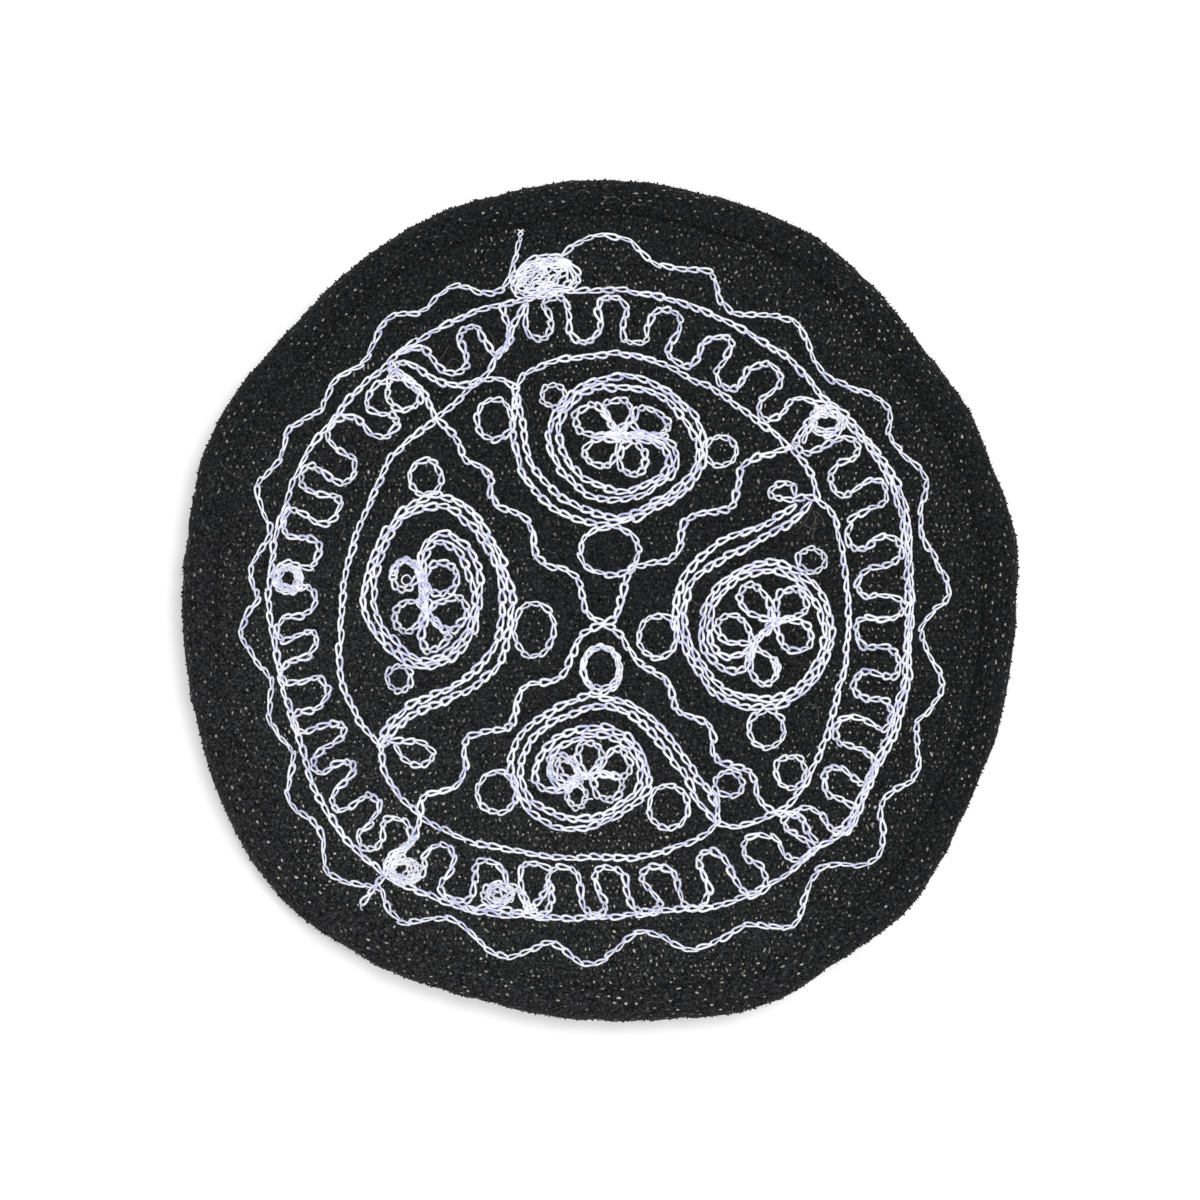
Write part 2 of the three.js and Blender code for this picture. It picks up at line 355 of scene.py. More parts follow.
# How far the stand-in places are drawn together in each direction, so that a relief runs longer that way.
SIDE_STRETCH, PUCKER_STRETCH, BRIM_STRETCH = (1, 1, 0.6), (1, 1, 0.15), (1, 1, 0.5, 0.5)
# Shares of the side's way down past which the crown's outline fades, and the roll's and the folds begin.
OUTLINE_FADES, ROLL_BEGINS, FOLDS_BEGIN = 0.55, 0.7, 0.35
# Stand-in radii and heights on which the broad relief runs, so that it closes round the cap and the roll.
SIDE_RADIUS, SIDE_DROP = 60, 34
BRIM_RADIUS, BRIM_SECTION = 70, 10


def reliefs(layers, *places):
    """A cloth's relief in each of its layers, on the places given for it."""
    return [layer[0] * ripple(place, *layer[1:]) for layer, place in zip(layers, places)]


def near_rows(flat, rows):
    """How far each point of a grid is from the nearest of the sewn places."""
    tree = KDTree(len(rows))
    for i, place in enumerate(rows):
        tree.insert((*place, 0), i)
    tree.balance()
    return np.array([tree.find((x, y, 0))[2] for x, y in flat.reshape(-1, 2)]).reshape(flat.shape[:2])


def crown_top_cloth(rows):
    """The round panel on top, a little uneven, drawn in along the stitches and turned down at the seam."""
    out = np.concatenate([[INNERMOST_RING], np.linspace(0, 1, TOP_RINGS + 1)[1:]])
    radius = (SEAM_RADIUS - CLOTH_THICKNESS / 2 + SEAM_LAP) * out
    none = np.zeros_like(out)
    outline = smoothstep(out, OUTLINE_BEGINS, 1)
    face = turned(radius, crown_height(out), (none, none), outline, none, none)
    flat = face[..., :2]
    broad, middling, fine = reliefs(TOP_RELIEF, flat, flat, flat)
    relief = broad * smoothstep(out, 0.0, RELIEF_IN_FULL)[:, None] + middling + fine
    near = near_rows(flat, rows)
    relief -= DENT_DEPTH * np.exp(-(near / DENT_BREADTH) ** 2)
    relief += SWELL_HEIGHT * np.exp(-((near - SWELL_AWAY) / SWELL_BREADTH) ** 2)
    reach = np.linalg.norm(flat, axis=-1)
    edge = reach[-1][None, :] - reach
    relief *= smoothstep(edge, 0.0, CALM_EDGE) * (1 - CALM_SHARE) + CALM_SHARE
    relief -= SEAM_TURN_DOWN * (1 - smoothstep(edge, 0.0, TOP_TURN))
    face[..., 2] += relief
    back = face[[*range(0, TOP_RINGS, BACK_STEP), TOP_RINGS]]
    back[..., 2] -= CLOTH_THICKNESS
    grid = np.stack([*face, *edge_round(face, back), *back[::-1]])
    place = np.concatenate([grid, grid[:1]])[:, np.append(np.arange(TURNS), 0), :2] * MM
    return shell("crown_top_cloth", grid, place)


def strip_map(grid, face_rows):
    """A map in metres of a piece turned round the cap: the way round, and the way along its section.

    Past the rows of its face the map runs back, so that the back of a cloth has the same places as its face.
    """
    rows = np.arange(len(grid) + 1)
    step = np.linalg.norm(np.diff(grid[:, 0], axis=0, append=grid[:1, 0]), axis=-1)
    along = np.concatenate([[0], np.cumsum(step)])
    along = np.where(rows <= face_rows, along, 2 * along[face_rows] - along)
    round_cap = np.arange(TURNS + 1) / TURNS * 2 * math.pi * CROWN_REACH
    return np.stack(np.meshgrid(along, round_cap, indexing="ij")[::-1], axis=-1) * MM


def stand_in(radius, *rest):
    """Places on a plain ring of a radius, with more coordinates for each row of a section."""
    angle = np.radians(ROUND)[None, :]
    return np.stack(np.broadcast_arrays(np.cos(angle) * radius, np.sin(angle) * radius, *rest), axis=-1)


def crown_side_cloth():
    """The side cloth, from the seam over the soft edge and in under it to the roll."""
    path = side_path(SIDE_RINGS)
    down = np.linspace(0, 1, SIDE_RINGS + 1)
    outline = 1 - smoothstep(down, OUTLINE_FADES, 1)
    roll = smoothstep(down, ROLL_BEGINS, 1)
    fold = np.sin(math.pi * smoothstep(down, FOLDS_BEGIN, 1))
    face = turned(path[:, 0], path[:, 1], out_of(path), outline, roll, fold)
    circle = stand_in(SIDE_RADIUS, down[:, None] * SIDE_DROP)
    relief = sum(reliefs(SIDE_RELIEF, circle * SIDE_STRETCH, face, face))
    free = (np.sin(math.pi * down) ** 0.6)[:, None]
    pucker = np.exp(-(down / PUCKER_REACH) ** 2)[:, None] * ripple(circle * PUCKER_STRETCH, *PUCKER_WAVES)
    pucker = PUCKER_HEIGHT * pucker * smoothstep(down, 0.0, 0.02)[:, None]
    face = face + facing(face) * (relief * free + pucker)[..., None]
    edge = (down * len(down))[:, None]
    face[..., 2] -= SEAM_TURN_DOWN * (1 - smoothstep(edge, 0.0, SIDE_TURN))
    back = face - facing(face) * CLOTH_THICKNESS
    grid = np.stack([*face, *edge_round(face, back), *back[::-1], *edge_round(back[::-1], face[::-1])])
    return shell("crown_side_cloth", grid, strip_map(grid, SIDE_RINGS))


def rolled_brim_cloth():
    """The cloth wound into the roll, flat only where it rests."""
    wound = np.linspace(0, 1, ROLL_RINGS + 1)
    degrees = TUCK_ANGLE + 360 * wound
    path = np.stack([roll_point(d, CLOTH_THICKNESS * (1 - w)) for d, w in zip(degrees, wound)])[::-1]
    one, none = np.ones(len(path)), np.zeros(len(path))
    face = turned(path[:, 0], path[:, 1], (none, none), none, one, none)
    section = np.radians(degrees[::-1])[:, None]
    ring_round = stand_in(BRIM_RADIUS, np.cos(section) * BRIM_SECTION, np.sin(section) * BRIM_SECTION)
    relief = sum(reliefs(BRIM_RELIEF, ring_round * BRIM_STRETCH, ring_round, face))
    relief *= (np.sin(math.pi * wound) ** 0.5)[:, None]
    face = face + facing(face) * relief[..., None]
    face[..., 2] = np.maximum(face[..., 2], 0)
    return shell("rolled_brim_cloth", face, strip_map(face, len(face)))


def arithmetic(operation, swapped=False):
    """A method of Wire that adds a Math node, with the wire first or, where it is swapped, last."""
    def method(self, *values):
        return self.math(operation, *((*values, self) if swapped else (self, *values)))
    return method


class Wire:
    """An output socket of a node. Arithmetic on it adds Math nodes, and Wire.add adds any other node."""

    def __init__(self, socket):
        self.socket = socket
        self.tree = socket.id_data

    @staticmethod
    def add(tree, kind, settings=(), sockets=(), out=0):
        """A node of a kind, with its settings made first and then its sockets, given by name or number."""
        node = tree.nodes.new(kind)
        for name, value in dict(settings).items():
            setattr(node, name, value)
        for name, value in dict(sockets).items():
            socket = node.inputs[name]
            if isinstance(value, Wire):
                tree.links.new(value.socket, socket)
            else:
                socket.default_value = value
        return Wire(node.outputs[out])

    @property
    def node(self):
        return self.socket.node

    def other(self, name):
        """Another output of the same node."""
        return Wire(self.node.outputs[name])

    def math(self, operation, *values):
        return Wire.add(self.tree, "ShaderNodeMath", {"operation": operation}, dict(enumerate(values)))

    __add__, __radd__ = arithmetic("ADD"), arithmetic("ADD", swapped=True)
    __sub__, __rsub__ = arithmetic("SUBTRACT"), arithmetic("SUBTRACT", swapped=True)
    __mul__, __rmul__ = arithmetic("MULTIPLY"), arithmetic("MULTIPLY", swapped=True)
    __truediv__, __pow__ = arithmetic("DIVIDE"), arithmetic("POWER")
    floor, sine, modulo = arithmetic("FLOOR"), arithmetic("SINE"), arithmetic("FLOORED_MODULO")

    def smooth(self, low, high, start=0.0, end=1.0):
        """A smooth step from start at low to end at high."""
        levels = {"Value": self, "From Min": low, "From Max": high, "To Min": start, "To Max": end}
        return Wire.add(self.tree, "ShaderNodeMapRange", {"interpolation_type": "SMOOTHSTEP"}, levels)


def blend_colours(tree, factor, first, second):
    """A colour between two others."""
    sockets = {0: factor, 6: first, 7: second}
    return Wire.add(tree, "ShaderNodeMix", {"data_type": "RGBA"}, sockets, out=2)


def noise(tree, vector, scale, detail=2.0, roughness=0.5, out=0):
    """Smooth noise from 0 to 1, scale of it to the metre."""
    sockets = {"Vector": vector, "Scale": scale, "Detail": detail, "Roughness": roughness}
    return Wire.add(tree, "ShaderNodeTexNoise", {}, sockets, out)


def new_material(name):
    """A material, and its emptied tree."""
    material = bpy.data.materials.new(name)
    material.use_nodes = True
    material.node_tree.nodes.clear()
    return material, material.node_tree


def finish_material(material, sockets):
    """Ends a material in one shader, with its inputs by name."""
    tree = material.node_tree
    shader = Wire.add(tree, "ShaderNodeBsdfPrincipled", {}, sockets)
    output = tree.nodes.new("ShaderNodeOutputMaterial")
    tree.links.new(shader.socket, output.inputs["Surface"])
    return material


def surface(material, base, roughness, height, relief, fixed):
    """Ends a material with its colour, roughness and bump, and its fixed values by name."""
    bump = {"Strength": 1.0, "Distance": relief, "Height": height}
    normal = Wire.add(material.node_tree, "ShaderNodeBump", {}, bump, "Normal")
    return finish_material(material, {"Base Color": base, "Roughness": roughness, "Normal": normal, **fixed})


def place_in(tree):
    """The place of each point, in metres on the cap's axes."""
    return Wire.add(tree, "ShaderNodeTexCoord", out="Object")


def axes_of(tree, vector):
    """A vector's first two numbers."""
    first = Wire.add(tree, "ShaderNodeSeparateXYZ", {}, {0: vector}, "X")
    return first, first.other("Y")


def channels_of(tree, colour):
    """A colour's first two channels."""
    first = Wire.add(tree, "ShaderNodeSeparateColor", {}, {0: colour}, "Red")
    return first, first.other("Green")


def shade_of_instance(tree):
    """The shade that each stitch or hair was given when it was placed."""
    return Wire.add(tree, "ShaderNodeAttribute", {"attribute_name": "shade"}, {}, "Fac")


BLACK_WOOL = (0.0020, 0.0022, 0.0026, 1)
WORN_WOOL = (0.0390, 0.0400, 0.0415, 1)
PALE_FLECK = (0.42, 0.40, 0.35, 1)
HAIR_DARK = (0.003, 0.0032, 0.0038, 1)
HAIR_PALE = (0.24, 0.23, 0.20, 1)
THREAD_WHITE = (0.95, 0.96, 0.99, 1)
# Lilac for patches along the thread, and also the painted shade down each strand's flanks.
THREAD_LILAC_AND_SHADE = (0.26, 0.285, 0.64, 1)
WOOL_SHEEN = {
    "Sheen Weight": 0.02, "Sheen Roughness": 0.45, "Sheen Tint": (0.75, 0.78, 0.85, 1),
    "Specular IOR Level": 0.05,
}
THREAD_SHEEN = {"Sheen Weight": 0.3, "Sheen Roughness": 0.4, "Specular IOR Level": 0.5}
# Noises: how much of each there is to the metre, its detail and its roughness.
DRIFT_NOISE = (240.0, 1.0)
PATCH_NOISE = (22.0, 4.0, 0.6)
FIBRE_NOISE = (1400.0, 2.0, 0.6)
WORN_NOISE = (480.0, 4.0, 0.75)
GRAIN_NOISE = (1150.0, 2.0, 0.6)
LUMP_NOISE = (520.0, 3.0, 0.6)
THREAD_NOISE = (560.0, 2.0, 0.6)
BROAD_NOISE = (75.0, 2.0)
# Smooth steps over a noise or a distance: where each begins and ends, and what it gives there if not 0 and 1.
FLECK_EDGE = (0.25, 1.2, 1.0, 0.0)
WORN_STEP = (0.36, 0.72)
FIBRE_STEP = (0.42, 0.68)
GRAIN_STEP = (0.47, 0.68)
PATCH_STEP = (0.38, 0.64, 0.1, 0.8)
RIGHT_STEP = (0.085, 0.155, 0.12, 0.55)
FRONT_LEFT_FLECKS = (0.025, 0.115, 0.86, 1.4)
FRONT_LEFT_NAP = (-0.05, 0.13, 0.82, 1.4)
FIBRE_OVER_FLECK = (0.32, 0.56, 0.3, 1.0)
STRAND_TOP_HIGHLIGHT_STEP = (0.35, 0.95)
THREAD_STEP = (0.36, 0.62)
BROAD_STEP = (0.35, 0.65)
TIP_HIGHLIGHT_STEP = (0.0, 4.0, 1.0, 0.0)
# How pale worn spots, fibres and grain make the nap, and how high flecks, fibres and lumps stand in it.
WORN_SHARE, FIBRE_SHARE, GRAIN_SHARE = 0.16, 0.3, 0.47
FLECK_STANDS, FIBRE_STANDS, LUMP_STANDS = 0.5, 0.35, 0.7
# How white the painted highlight on a strand's top, patches, the painted highlight at a loop's tip, the loop's
# own random shade and broad patches make the thread.
TOP_HIGHLIGHT_SHARE, PATCH_SHARE, TIP_HIGHLIGHT_SHARE, SHADE_SHARE, BROAD_SHARE = 0.42, 0.26, 0.36, 0.16, 0.16
# How dark the painted shade in the grooves of its twist is, the contrast and level of its white, and its twists
# to the mm.
GROOVE_SHADE_SHARE, WHITE_CONTRAST, WHITE_LEVEL, TWISTS = 0.18, 1.6, 0.56, 4.0
# The way to the front left of the cap, towards which the flecks and the nap are made paler, and how far a fleck
# strays in its lattice.
FRONT_LEFT = (-0.6, -0.8)
STRAYING = 0.45
WOOL_RELIEF, HAIR_RELIEF, THREAD_RELIEF = 0.00035, 0.00001, 0.00008


def black_wool(name, across, along, half_width, half_length, wander, amount):
    """Black wool whose pale strands show as flecks in a staggered lattice on the cloth's own map.

    across and along are the lattice's steps in metres, the halves are a fleck's size, wander is how unevenly
    the lattice runs, and amount is the flecks' strength.
    """
    material, tree = new_material(name)
    place = place_in(tree)
    on_cloth = axes_of(tree, Wire.add(tree, "ShaderNodeUVMap", {"uv_map": "cloth"}))
    drift = channels_of(tree, noise(tree, place, *DRIFT_NOISE, out="Color"))
    column_at = on_cloth[0] / across + (drift[0] - 0.5) * wander
    row_at = on_cloth[1] / along + (drift[1] - 0.5) * wander
    row = row_at.floor()
    staggered = column_at + row.modulo(2.0) * 0.5
    column = staggered.floor()
    cell = Wire.add(tree, "ShaderNodeCombineXYZ", {}, {"X": column, "Y": row})
    chance = Wire.add(tree, "ShaderNodeTexWhiteNoise", {"noise_dimensions": "2D"}, {"Vector": cell}, "Value")
    shift = channels_of(tree, chance.other("Color"))
    sideways = staggered - column - 0.5 + (shift[0] - 0.5) * STRAYING
    upwards = row_at - row - 0.5 + (shift[1] - 0.5) * STRAYING
    away = (sideways * (across / half_width)) ** 2.0 + (upwards * (along / half_length)) ** 2.0
    fleck = away.smooth(*FLECK_EDGE)
    x, y = axes_of(tree, place)
    to_front_left = x * FRONT_LEFT[0] + y * FRONT_LEFT[1]
    from_middle = (x ** 2.0 + y ** 2.0) ** 0.5
    patches = noise(tree, place, *PATCH_NOISE).smooth(*PATCH_STEP)
    patches = patches + (x + from_middle * 0.7).smooth(*RIGHT_STEP)
    strength = (chance ** 3.6 * 0.95 + 0.05) * patches * to_front_left.smooth(*FRONT_LEFT_FLECKS) * amount
    fibre = noise(tree, place, *FIBRE_NOISE)
    worn = noise(tree, place, *WORN_NOISE).smooth(*WORN_STEP)
    grain = noise(tree, place, *GRAIN_NOISE).smooth(*GRAIN_STEP)
    nap = worn * WORN_SHARE + fibre.smooth(*FIBRE_STEP) * FIBRE_SHARE + grain * GRAIN_SHARE
    ground = blend_colours(tree, nap * to_front_left.smooth(*FRONT_LEFT_NAP), BLACK_WOOL, WORN_WOOL)
    base = blend_colours(tree, fleck * strength * fibre.smooth(*FIBRE_OVER_FLECK), ground, PALE_FLECK)
    height = fleck * FLECK_STANDS + fibre * FIBRE_STANDS + noise(tree, place, *LUMP_NOISE) * LUMP_STANDS
    return surface(material, base, 0.86 + fibre * 0.1, height, WOOL_RELIEF, WOOL_SHEEN)


def wool_hair(name, pale=False):
    """Single wool fibres, mostly dark, with some pale ones among them, or all pale."""
    material, tree = new_material(name)
    place = place_in(tree)
    base = HAIR_PALE
    if not pale:
        shade = shade_of_instance(tree)
        base = blend_colours(tree, shade ** 3.0 * 0.16 + shade.smooth(0.95, 1.0) * 0.4, HAIR_DARK, HAIR_PALE)
    return surface(material, base, 0.85, noise(tree, place, 900.0), HAIR_RELIEF, {"Specular IOR Level": 0.05})


# How far along a loop of thread, in millimetres, its rounded tip comes, where a painted highlight is centred.
LOOP_MIDDLE = 4.6


def white_thread(name):
    """White thread, with painted highlights on strand tops and loop tips, painted lilac shade on the flanks and
    in the twist's grooves, and lilac patches.
    """
    material, tree = new_material(name)
    place = place_in(tree)
    shade = shade_of_instance(tree)
    along, round_strand = axes_of(tree, Wire.add(tree, "ShaderNodeUVMap", {"uv_map": "thread"}))
    twist = ((along * TWISTS + round_strand) * (2 * math.pi)).sine() * 0.5 + 0.5
    # Painted light: each strand's top is drawn white and its flanks lilac, as light from above would fall on
    # it.
    painted_top_light = (round_strand * (2 * math.pi)).sine() * 0.5 + 0.5
    patches = noise(tree, place, *THREAD_NOISE).smooth(*THREAD_STEP)
    broad = noise(tree, place, *BROAD_NOISE).smooth(*BROAD_STEP)
    # Painted highlight at the tip of each loop.
    tip = ((along - LOOP_MIDDLE) ** 2.0).smooth(*TIP_HIGHLIGHT_STEP)
    white = painted_top_light.smooth(*STRAND_TOP_HIGHLIGHT_STEP) * TOP_HIGHLIGHT_SHARE + patches * PATCH_SHARE + tip * TIP_HIGHLIGHT_SHARE
    white = white + shade * SHADE_SHARE + broad * BROAD_SHARE
    # Painted shade in the grooves of the twist.
    white = (white - (1 - twist) * GROOVE_SHADE_SHARE - 0.5) * WHITE_CONTRAST + WHITE_LEVEL
    base = blend_colours(tree, white, THREAD_LILAC_AND_SHADE, THREAD_WHITE)
    return surface(material, base, 0.42, twist, THREAD_RELIEF, THREAD_SHEEN)


# The rows of embroidery, as points read in the photograph's pixels, in the order of sewing.
# The single scalloped row outside the ring.
OUTER_WAVE = [
    (562, 256), (566, 250), (574, 245), (583, 241), (593, 238), (607, 236), (629, 242), (642, 255),
    (656, 265), (680, 269), (703, 270), (712, 275), (718, 295), (726, 309), (741, 315), (764, 316),
    (787, 318), (798, 325), (804, 335), (808, 345), (811, 355), (815, 364), (822, 371), (829, 378),
    (837, 383), (847, 387), (857, 390), (867, 393), (877, 398), (885, 405), (890, 413), (890, 422),
    (888, 431), (890, 440), (896, 447), (904, 454), (912, 461), (920, 470), (926, 479), (925, 490),
    (922, 500), (920, 522), (922, 536), (933, 556), (944, 576), (948, 590), (947, 600), (932, 612),
    (922, 627), (922, 639), (932, 659), (942, 680), (939, 697), (926, 713), (916, 724), (916, 744),
    (919, 768), (911, 781), (900, 785), (891, 792), (881, 799), (880, 809), (881, 820), (882, 832),
    (881, 845), (878, 854), (872, 860), (862, 864), (848, 864), (835, 863), (823, 866), (815, 873),
    (811, 884), (807, 895), (803, 906), (799, 917), (793, 925), (782, 928), (770, 926), (757, 924),
    (745, 925), (735, 930), (723, 936), (712, 943), (700, 948), (688, 948), (676, 944), (665, 938),
    (652, 932), (640, 932), (630, 936), (620, 945), (610, 955), (598, 962), (588, 966), (576, 960),
    (567, 952), (558, 945), (548, 942), (538, 946), (527, 952), (515, 956), (503, 957), (492, 951),
    (482, 944), (473, 934), (465, 926), (455, 919), (442, 917), (430, 918), (418, 920), (408, 922),
    (398, 919), (390, 913), (386, 903), (384, 894), (379, 886), (370, 885), (360, 883), (344, 881),
    (330, 873), (326, 862), (324, 838), (315, 822), (300, 812), (290, 800), (288, 785), (294, 762),
    (293, 750), (281, 738), (269, 718), (270, 697), (273, 683), (265, 671), (250, 650), (241, 636),
    (246, 618), (258, 600), (253, 585), (250, 570), (261, 550), (269, 536), (268, 522), (260, 505),
    (257, 488), (267, 474), (280, 463), (284, 449), (287, 432), (295, 424), (309, 418), (320, 414),
    (326, 398), (333, 382), (346, 372), (360, 365), (367, 357), (372, 348), (376, 338), (380, 328),
    (386, 320), (395, 314), (405, 313), (418, 313), (428, 308), (434, 302), (440, 294), (447, 289),
    (458, 286), (468, 288), (478, 292), (488, 294), (496, 293), (503, 289), (509, 282), (510, 272),
    (514, 262), (517, 253), (520, 243),
]
# The ring round the looped border, and the second row that runs inside its right half.
MAIN_RING = [
    (268, 590), (270, 575), (277, 530), (287, 502), (298, 474), (309, 452), (326, 429), (343, 407),
    (362, 386), (380, 370), (400, 352), (412, 345), (432, 332), (455, 321), (480, 310), (505, 304),
    (530, 298), (545, 294), (575, 292), (605, 290), (632, 292), (655, 296), (680, 303), (703, 311),
    (729, 322), (752, 336), (770, 347), (790, 360), (806, 377), (820, 394), (828, 401), (845, 414),
    (858, 430), (871, 446), (884, 462), (895, 480), (903, 500), (908, 520), (910, 540), (910, 560),
    (911, 580), (912, 600), (911, 620), (910, 640), (910, 660), (909, 675), (907, 690), (902, 703),
    (899, 716), (896, 728), (890, 742), (884, 754), (877, 768), (871, 782), (866, 794), (860, 806),
    (856, 818), (848, 829), (838, 837), (825, 842), (812, 850), (797, 866), (776, 880), (760, 892),
    (735, 899), (708, 907), (680, 909), (652, 912), (620, 916), (590, 917), (560, 918), (530, 916),
    (505, 915), (480, 912), (460, 908), (440, 899), (418, 890), (397, 882), (380, 869), (362, 853),
    (344, 835), (330, 815), (316, 791), (306, 762), (297, 735), (287, 703), (281, 677), (275, 647),
    (271, 618), (268, 590),
]
RING_SECOND = [
    (838, 412), (851, 427), (865, 443), (878, 460), (890, 480), (897, 500), (902, 520), (905, 540),
    (907, 560), (907, 580), (908, 600), (907, 620), (906, 640), (906, 660), (905, 675), (902, 690),
    (897, 702), (894, 715), (891, 727), (886, 741), (880, 752), (874, 766), (867, 780), (862, 792),
    (857, 804), (852, 815), (844, 826), (834, 832),
]
# The ring inside the looped border, in four arcs.
INNER_RING = [
    [(380, 747), (368, 732), (353, 709), (343, 683), (340, 653), (340, 624), (343, 595), (348, 564),
     (357, 533), (369, 505), (374, 492), (388, 464), (398, 450), (418, 432), (437, 419), (458, 402),
     (475, 385), (484, 380), (495, 379), (505, 381), (515, 387)],
    [(517, 386), (523, 376), (533, 370), (545, 365), (560, 360), (580, 356), (603, 354), (620, 354),
     (640, 357), (660, 364), (680, 373), (700, 383), (720, 394), (740, 408), (760, 424), (775, 433),
     (783, 440), (790, 449), (796, 455), (803, 463), (810, 472), (814, 481), (817, 492), (818, 499)],
    [(796, 496), (797, 490), (793, 485), (784, 482), (774, 485), (769, 491), (774, 498), (786, 500),
     (798, 499), (808, 497), (818, 501), (827, 507), (834, 516), (838, 528), (841, 545), (845, 570),
     (847, 590), (848, 633), (845, 665), (838, 691), (831, 720), (824, 740), (815, 762), (806, 781),
     (799, 792), (790, 802), (780, 810), (768, 817), (757, 822), (745, 826), (732, 826), (717, 822)],
    [(716, 822), (708, 831), (690, 842), (665, 850), (640, 857), (603, 858), (580, 858), (560, 858),
     (540, 856), (512, 850), (487, 844), (475, 842), (450, 832), (430, 821), (416, 811), (400, 795),
     (387, 777), (382, 758), (381, 747), (390, 742), (400, 742), (410, 740), (420, 742), (429, 748),
     (434, 754), (429, 762), (418, 765), (408, 762), (401, 755), (395, 747)],
]
# The border's row, which loops between the two rings.
LOOPED_BORDER = [
    [(569, 332), (575, 340), (583, 344), (592, 340), (600, 332), (601, 322), (598, 312), (598, 302),
     (605, 298), (615, 297), (627, 306), (624, 321), (623, 338), (637, 344), (647, 338), (650, 318),
     (665, 309), (678, 315), (680, 329), (669, 344), (669, 358), (686, 367), (698, 358), (703, 344),
     (721, 336), (732, 344), (726, 358), (716, 372), (723, 387), (738, 387), (749, 369), (764, 363),
     (773, 366), (781, 378), (776, 389), (762, 398), (758, 410), (762, 418), (772, 421), (782, 415),
     (790, 404), (797, 399), (808, 399), (815, 404), (826, 406), (836, 410)],
    [(834, 407), (824, 407), (815, 411), (811, 419), (804, 426), (798, 433), (796, 442), (799, 450),
     (808, 453), (818, 452), (826, 446), (832, 441), (840, 438), (848, 437), (855, 441), (859, 449),
     (856, 457), (848, 461), (839, 465), (831, 472), (830, 481), (834, 490), (843, 496), (853, 491),
     (862, 484), (872, 480), (880, 481), (886, 489), (884, 504), (867, 510), (850, 522), (847, 542),
     (861, 550), (876, 539), (893, 536), (901, 553), (890, 565), (867, 569), (856, 585), (864, 597),
     (879, 595), (898, 598), (903, 612), (885, 620), (862, 618), (855, 631), (862, 646), (876, 647),
     (894, 650), (900, 668), (891, 678), (873, 672), (864, 671), (854, 682), (856, 694), (867, 700),
     (885, 700), (892, 712), (885, 730), (870, 722), (856, 716), (842, 718), (835, 728), (836, 738),
     (840, 744), (857, 749), (866, 750), (873, 758), (873, 772), (868, 782), (861, 784), (855, 780),
     (848, 772), (840, 767), (832, 766), (825, 771), (823, 780), (824, 789), (831, 796), (841, 800),
     (850, 803), (855, 812), (851, 824), (842, 832), (834, 833), (828, 826), (824, 818), (818, 810),
     (810, 807), (800, 808), (791, 813), (784, 820), (786, 829), (796, 835), (806, 840), (813, 846),
     (812, 854), (804, 859), (794, 860), (787, 857), (782, 847), (775, 838), (765, 835), (755, 835),
     (746, 839), (742, 848), (745, 857), (753, 862), (761, 868), (766, 876), (764, 885), (752, 893),
     (742, 889), (735, 880), (730, 870), (724, 860), (717, 852), (708, 850), (700, 853), (697, 861),
     (701, 870), (706, 880), (710, 890), (707, 898), (703, 906), (690, 907), (682, 900), (678, 886),
     (676, 875), (668, 868), (658, 866), (648, 868), (641, 876), (645, 884), (653, 892), (660, 902),
     (656, 910), (640, 912), (632, 904), (628, 890), (624, 876), (616, 869), (608, 866), (600, 868),
     (594, 876), (598, 889), (603, 899), (607, 908), (598, 915), (588, 914), (582, 904), (581, 892),
     (581, 880), (576, 871), (567, 867), (557, 867), (549, 873), (548, 884), (551, 893), (552, 902),
     (548, 911), (538, 915), (530, 912), (525, 903), (522, 893), (520, 883), (520, 873), (523, 866),
     (531, 863), (540, 865), (549, 870)],
    [(797, 812), (803, 818), (805, 827), (809, 835), (815, 841)],
    [(549, 880), (546, 890), (541, 898), (534, 905), (528, 911)],
    [(507, 886), (506, 878), (504, 869), (496, 862), (486, 860), (477, 864), (474, 873), (474, 883),
     (472, 893), (465, 900), (456, 902), (447, 898), (441, 893), (441, 885), (445, 877), (453, 867),
     (455, 858), (450, 848), (442, 844), (432, 847), (424, 854), (425, 865), (421, 875), (412, 881)],
    [(384, 874), (390, 862), (399, 852), (409, 845), (412, 838), (411, 828), (405, 820), (396, 817),
     (387, 818), (383, 826), (383, 836), (380, 844), (374, 849), (366, 849), (359, 842), (359, 832),
     (374, 820), (381, 806), (376, 797), (368, 794), (356, 803), (344, 813), (332, 803), (338, 788),
     (353, 776), (352, 762), (335, 765), (321, 774), (313, 765), (321, 750), (340, 741), (343, 725),
     (327, 724), (306, 732), (293, 727), (297, 713), (318, 708), (328, 693), (321, 678), (306, 681),
     (288, 684), (281, 674), (288, 662), (306, 658), (318, 644), (312, 631), (297, 636), (283, 642),
     (277, 630), (283, 617), (306, 615), (315, 600), (309, 586), (299, 588)],
    [(298, 567), (312, 567), (320, 549), (309, 537), (292, 539), (284, 528), (289, 509), (306, 516),
     (323, 525), (340, 511), (338, 497), (320, 494), (303, 488), (303, 471), (315, 466), (329, 478),
     (346, 483), (357, 466), (348, 455), (331, 446), (329, 429), (337, 418), (350, 415), (359, 421),
     (367, 430), (379, 438), (390, 434), (398, 424), (394, 415), (383, 414), (373, 413), (367, 405),
     (369, 394), (374, 385), (386, 381), (397, 378), (407, 380), (416, 384), (421, 393), (420, 402),
     (412, 408), (402, 410), (392, 406), (387, 398), (387, 388), (390, 376), (394, 366)],
    [(398, 354), (407, 349), (418, 346), (427, 351), (433, 360), (440, 369), (449, 373), (459, 372),
     (467, 365), (465, 354), (460, 343), (460, 334), (466, 328), (475, 326), (482, 332), (486, 342),
     (491, 352), (498, 355), (505, 347), (511, 336), (508, 325), (504, 315), (503, 305)],
    [(527, 303), (525, 313), (525, 323), (528, 333), (537, 341), (546, 338), (552, 330), (550, 320),
     (546, 310), (544, 302), (553, 297), (563, 299), (568, 308), (570, 320), (569, 332)],
]
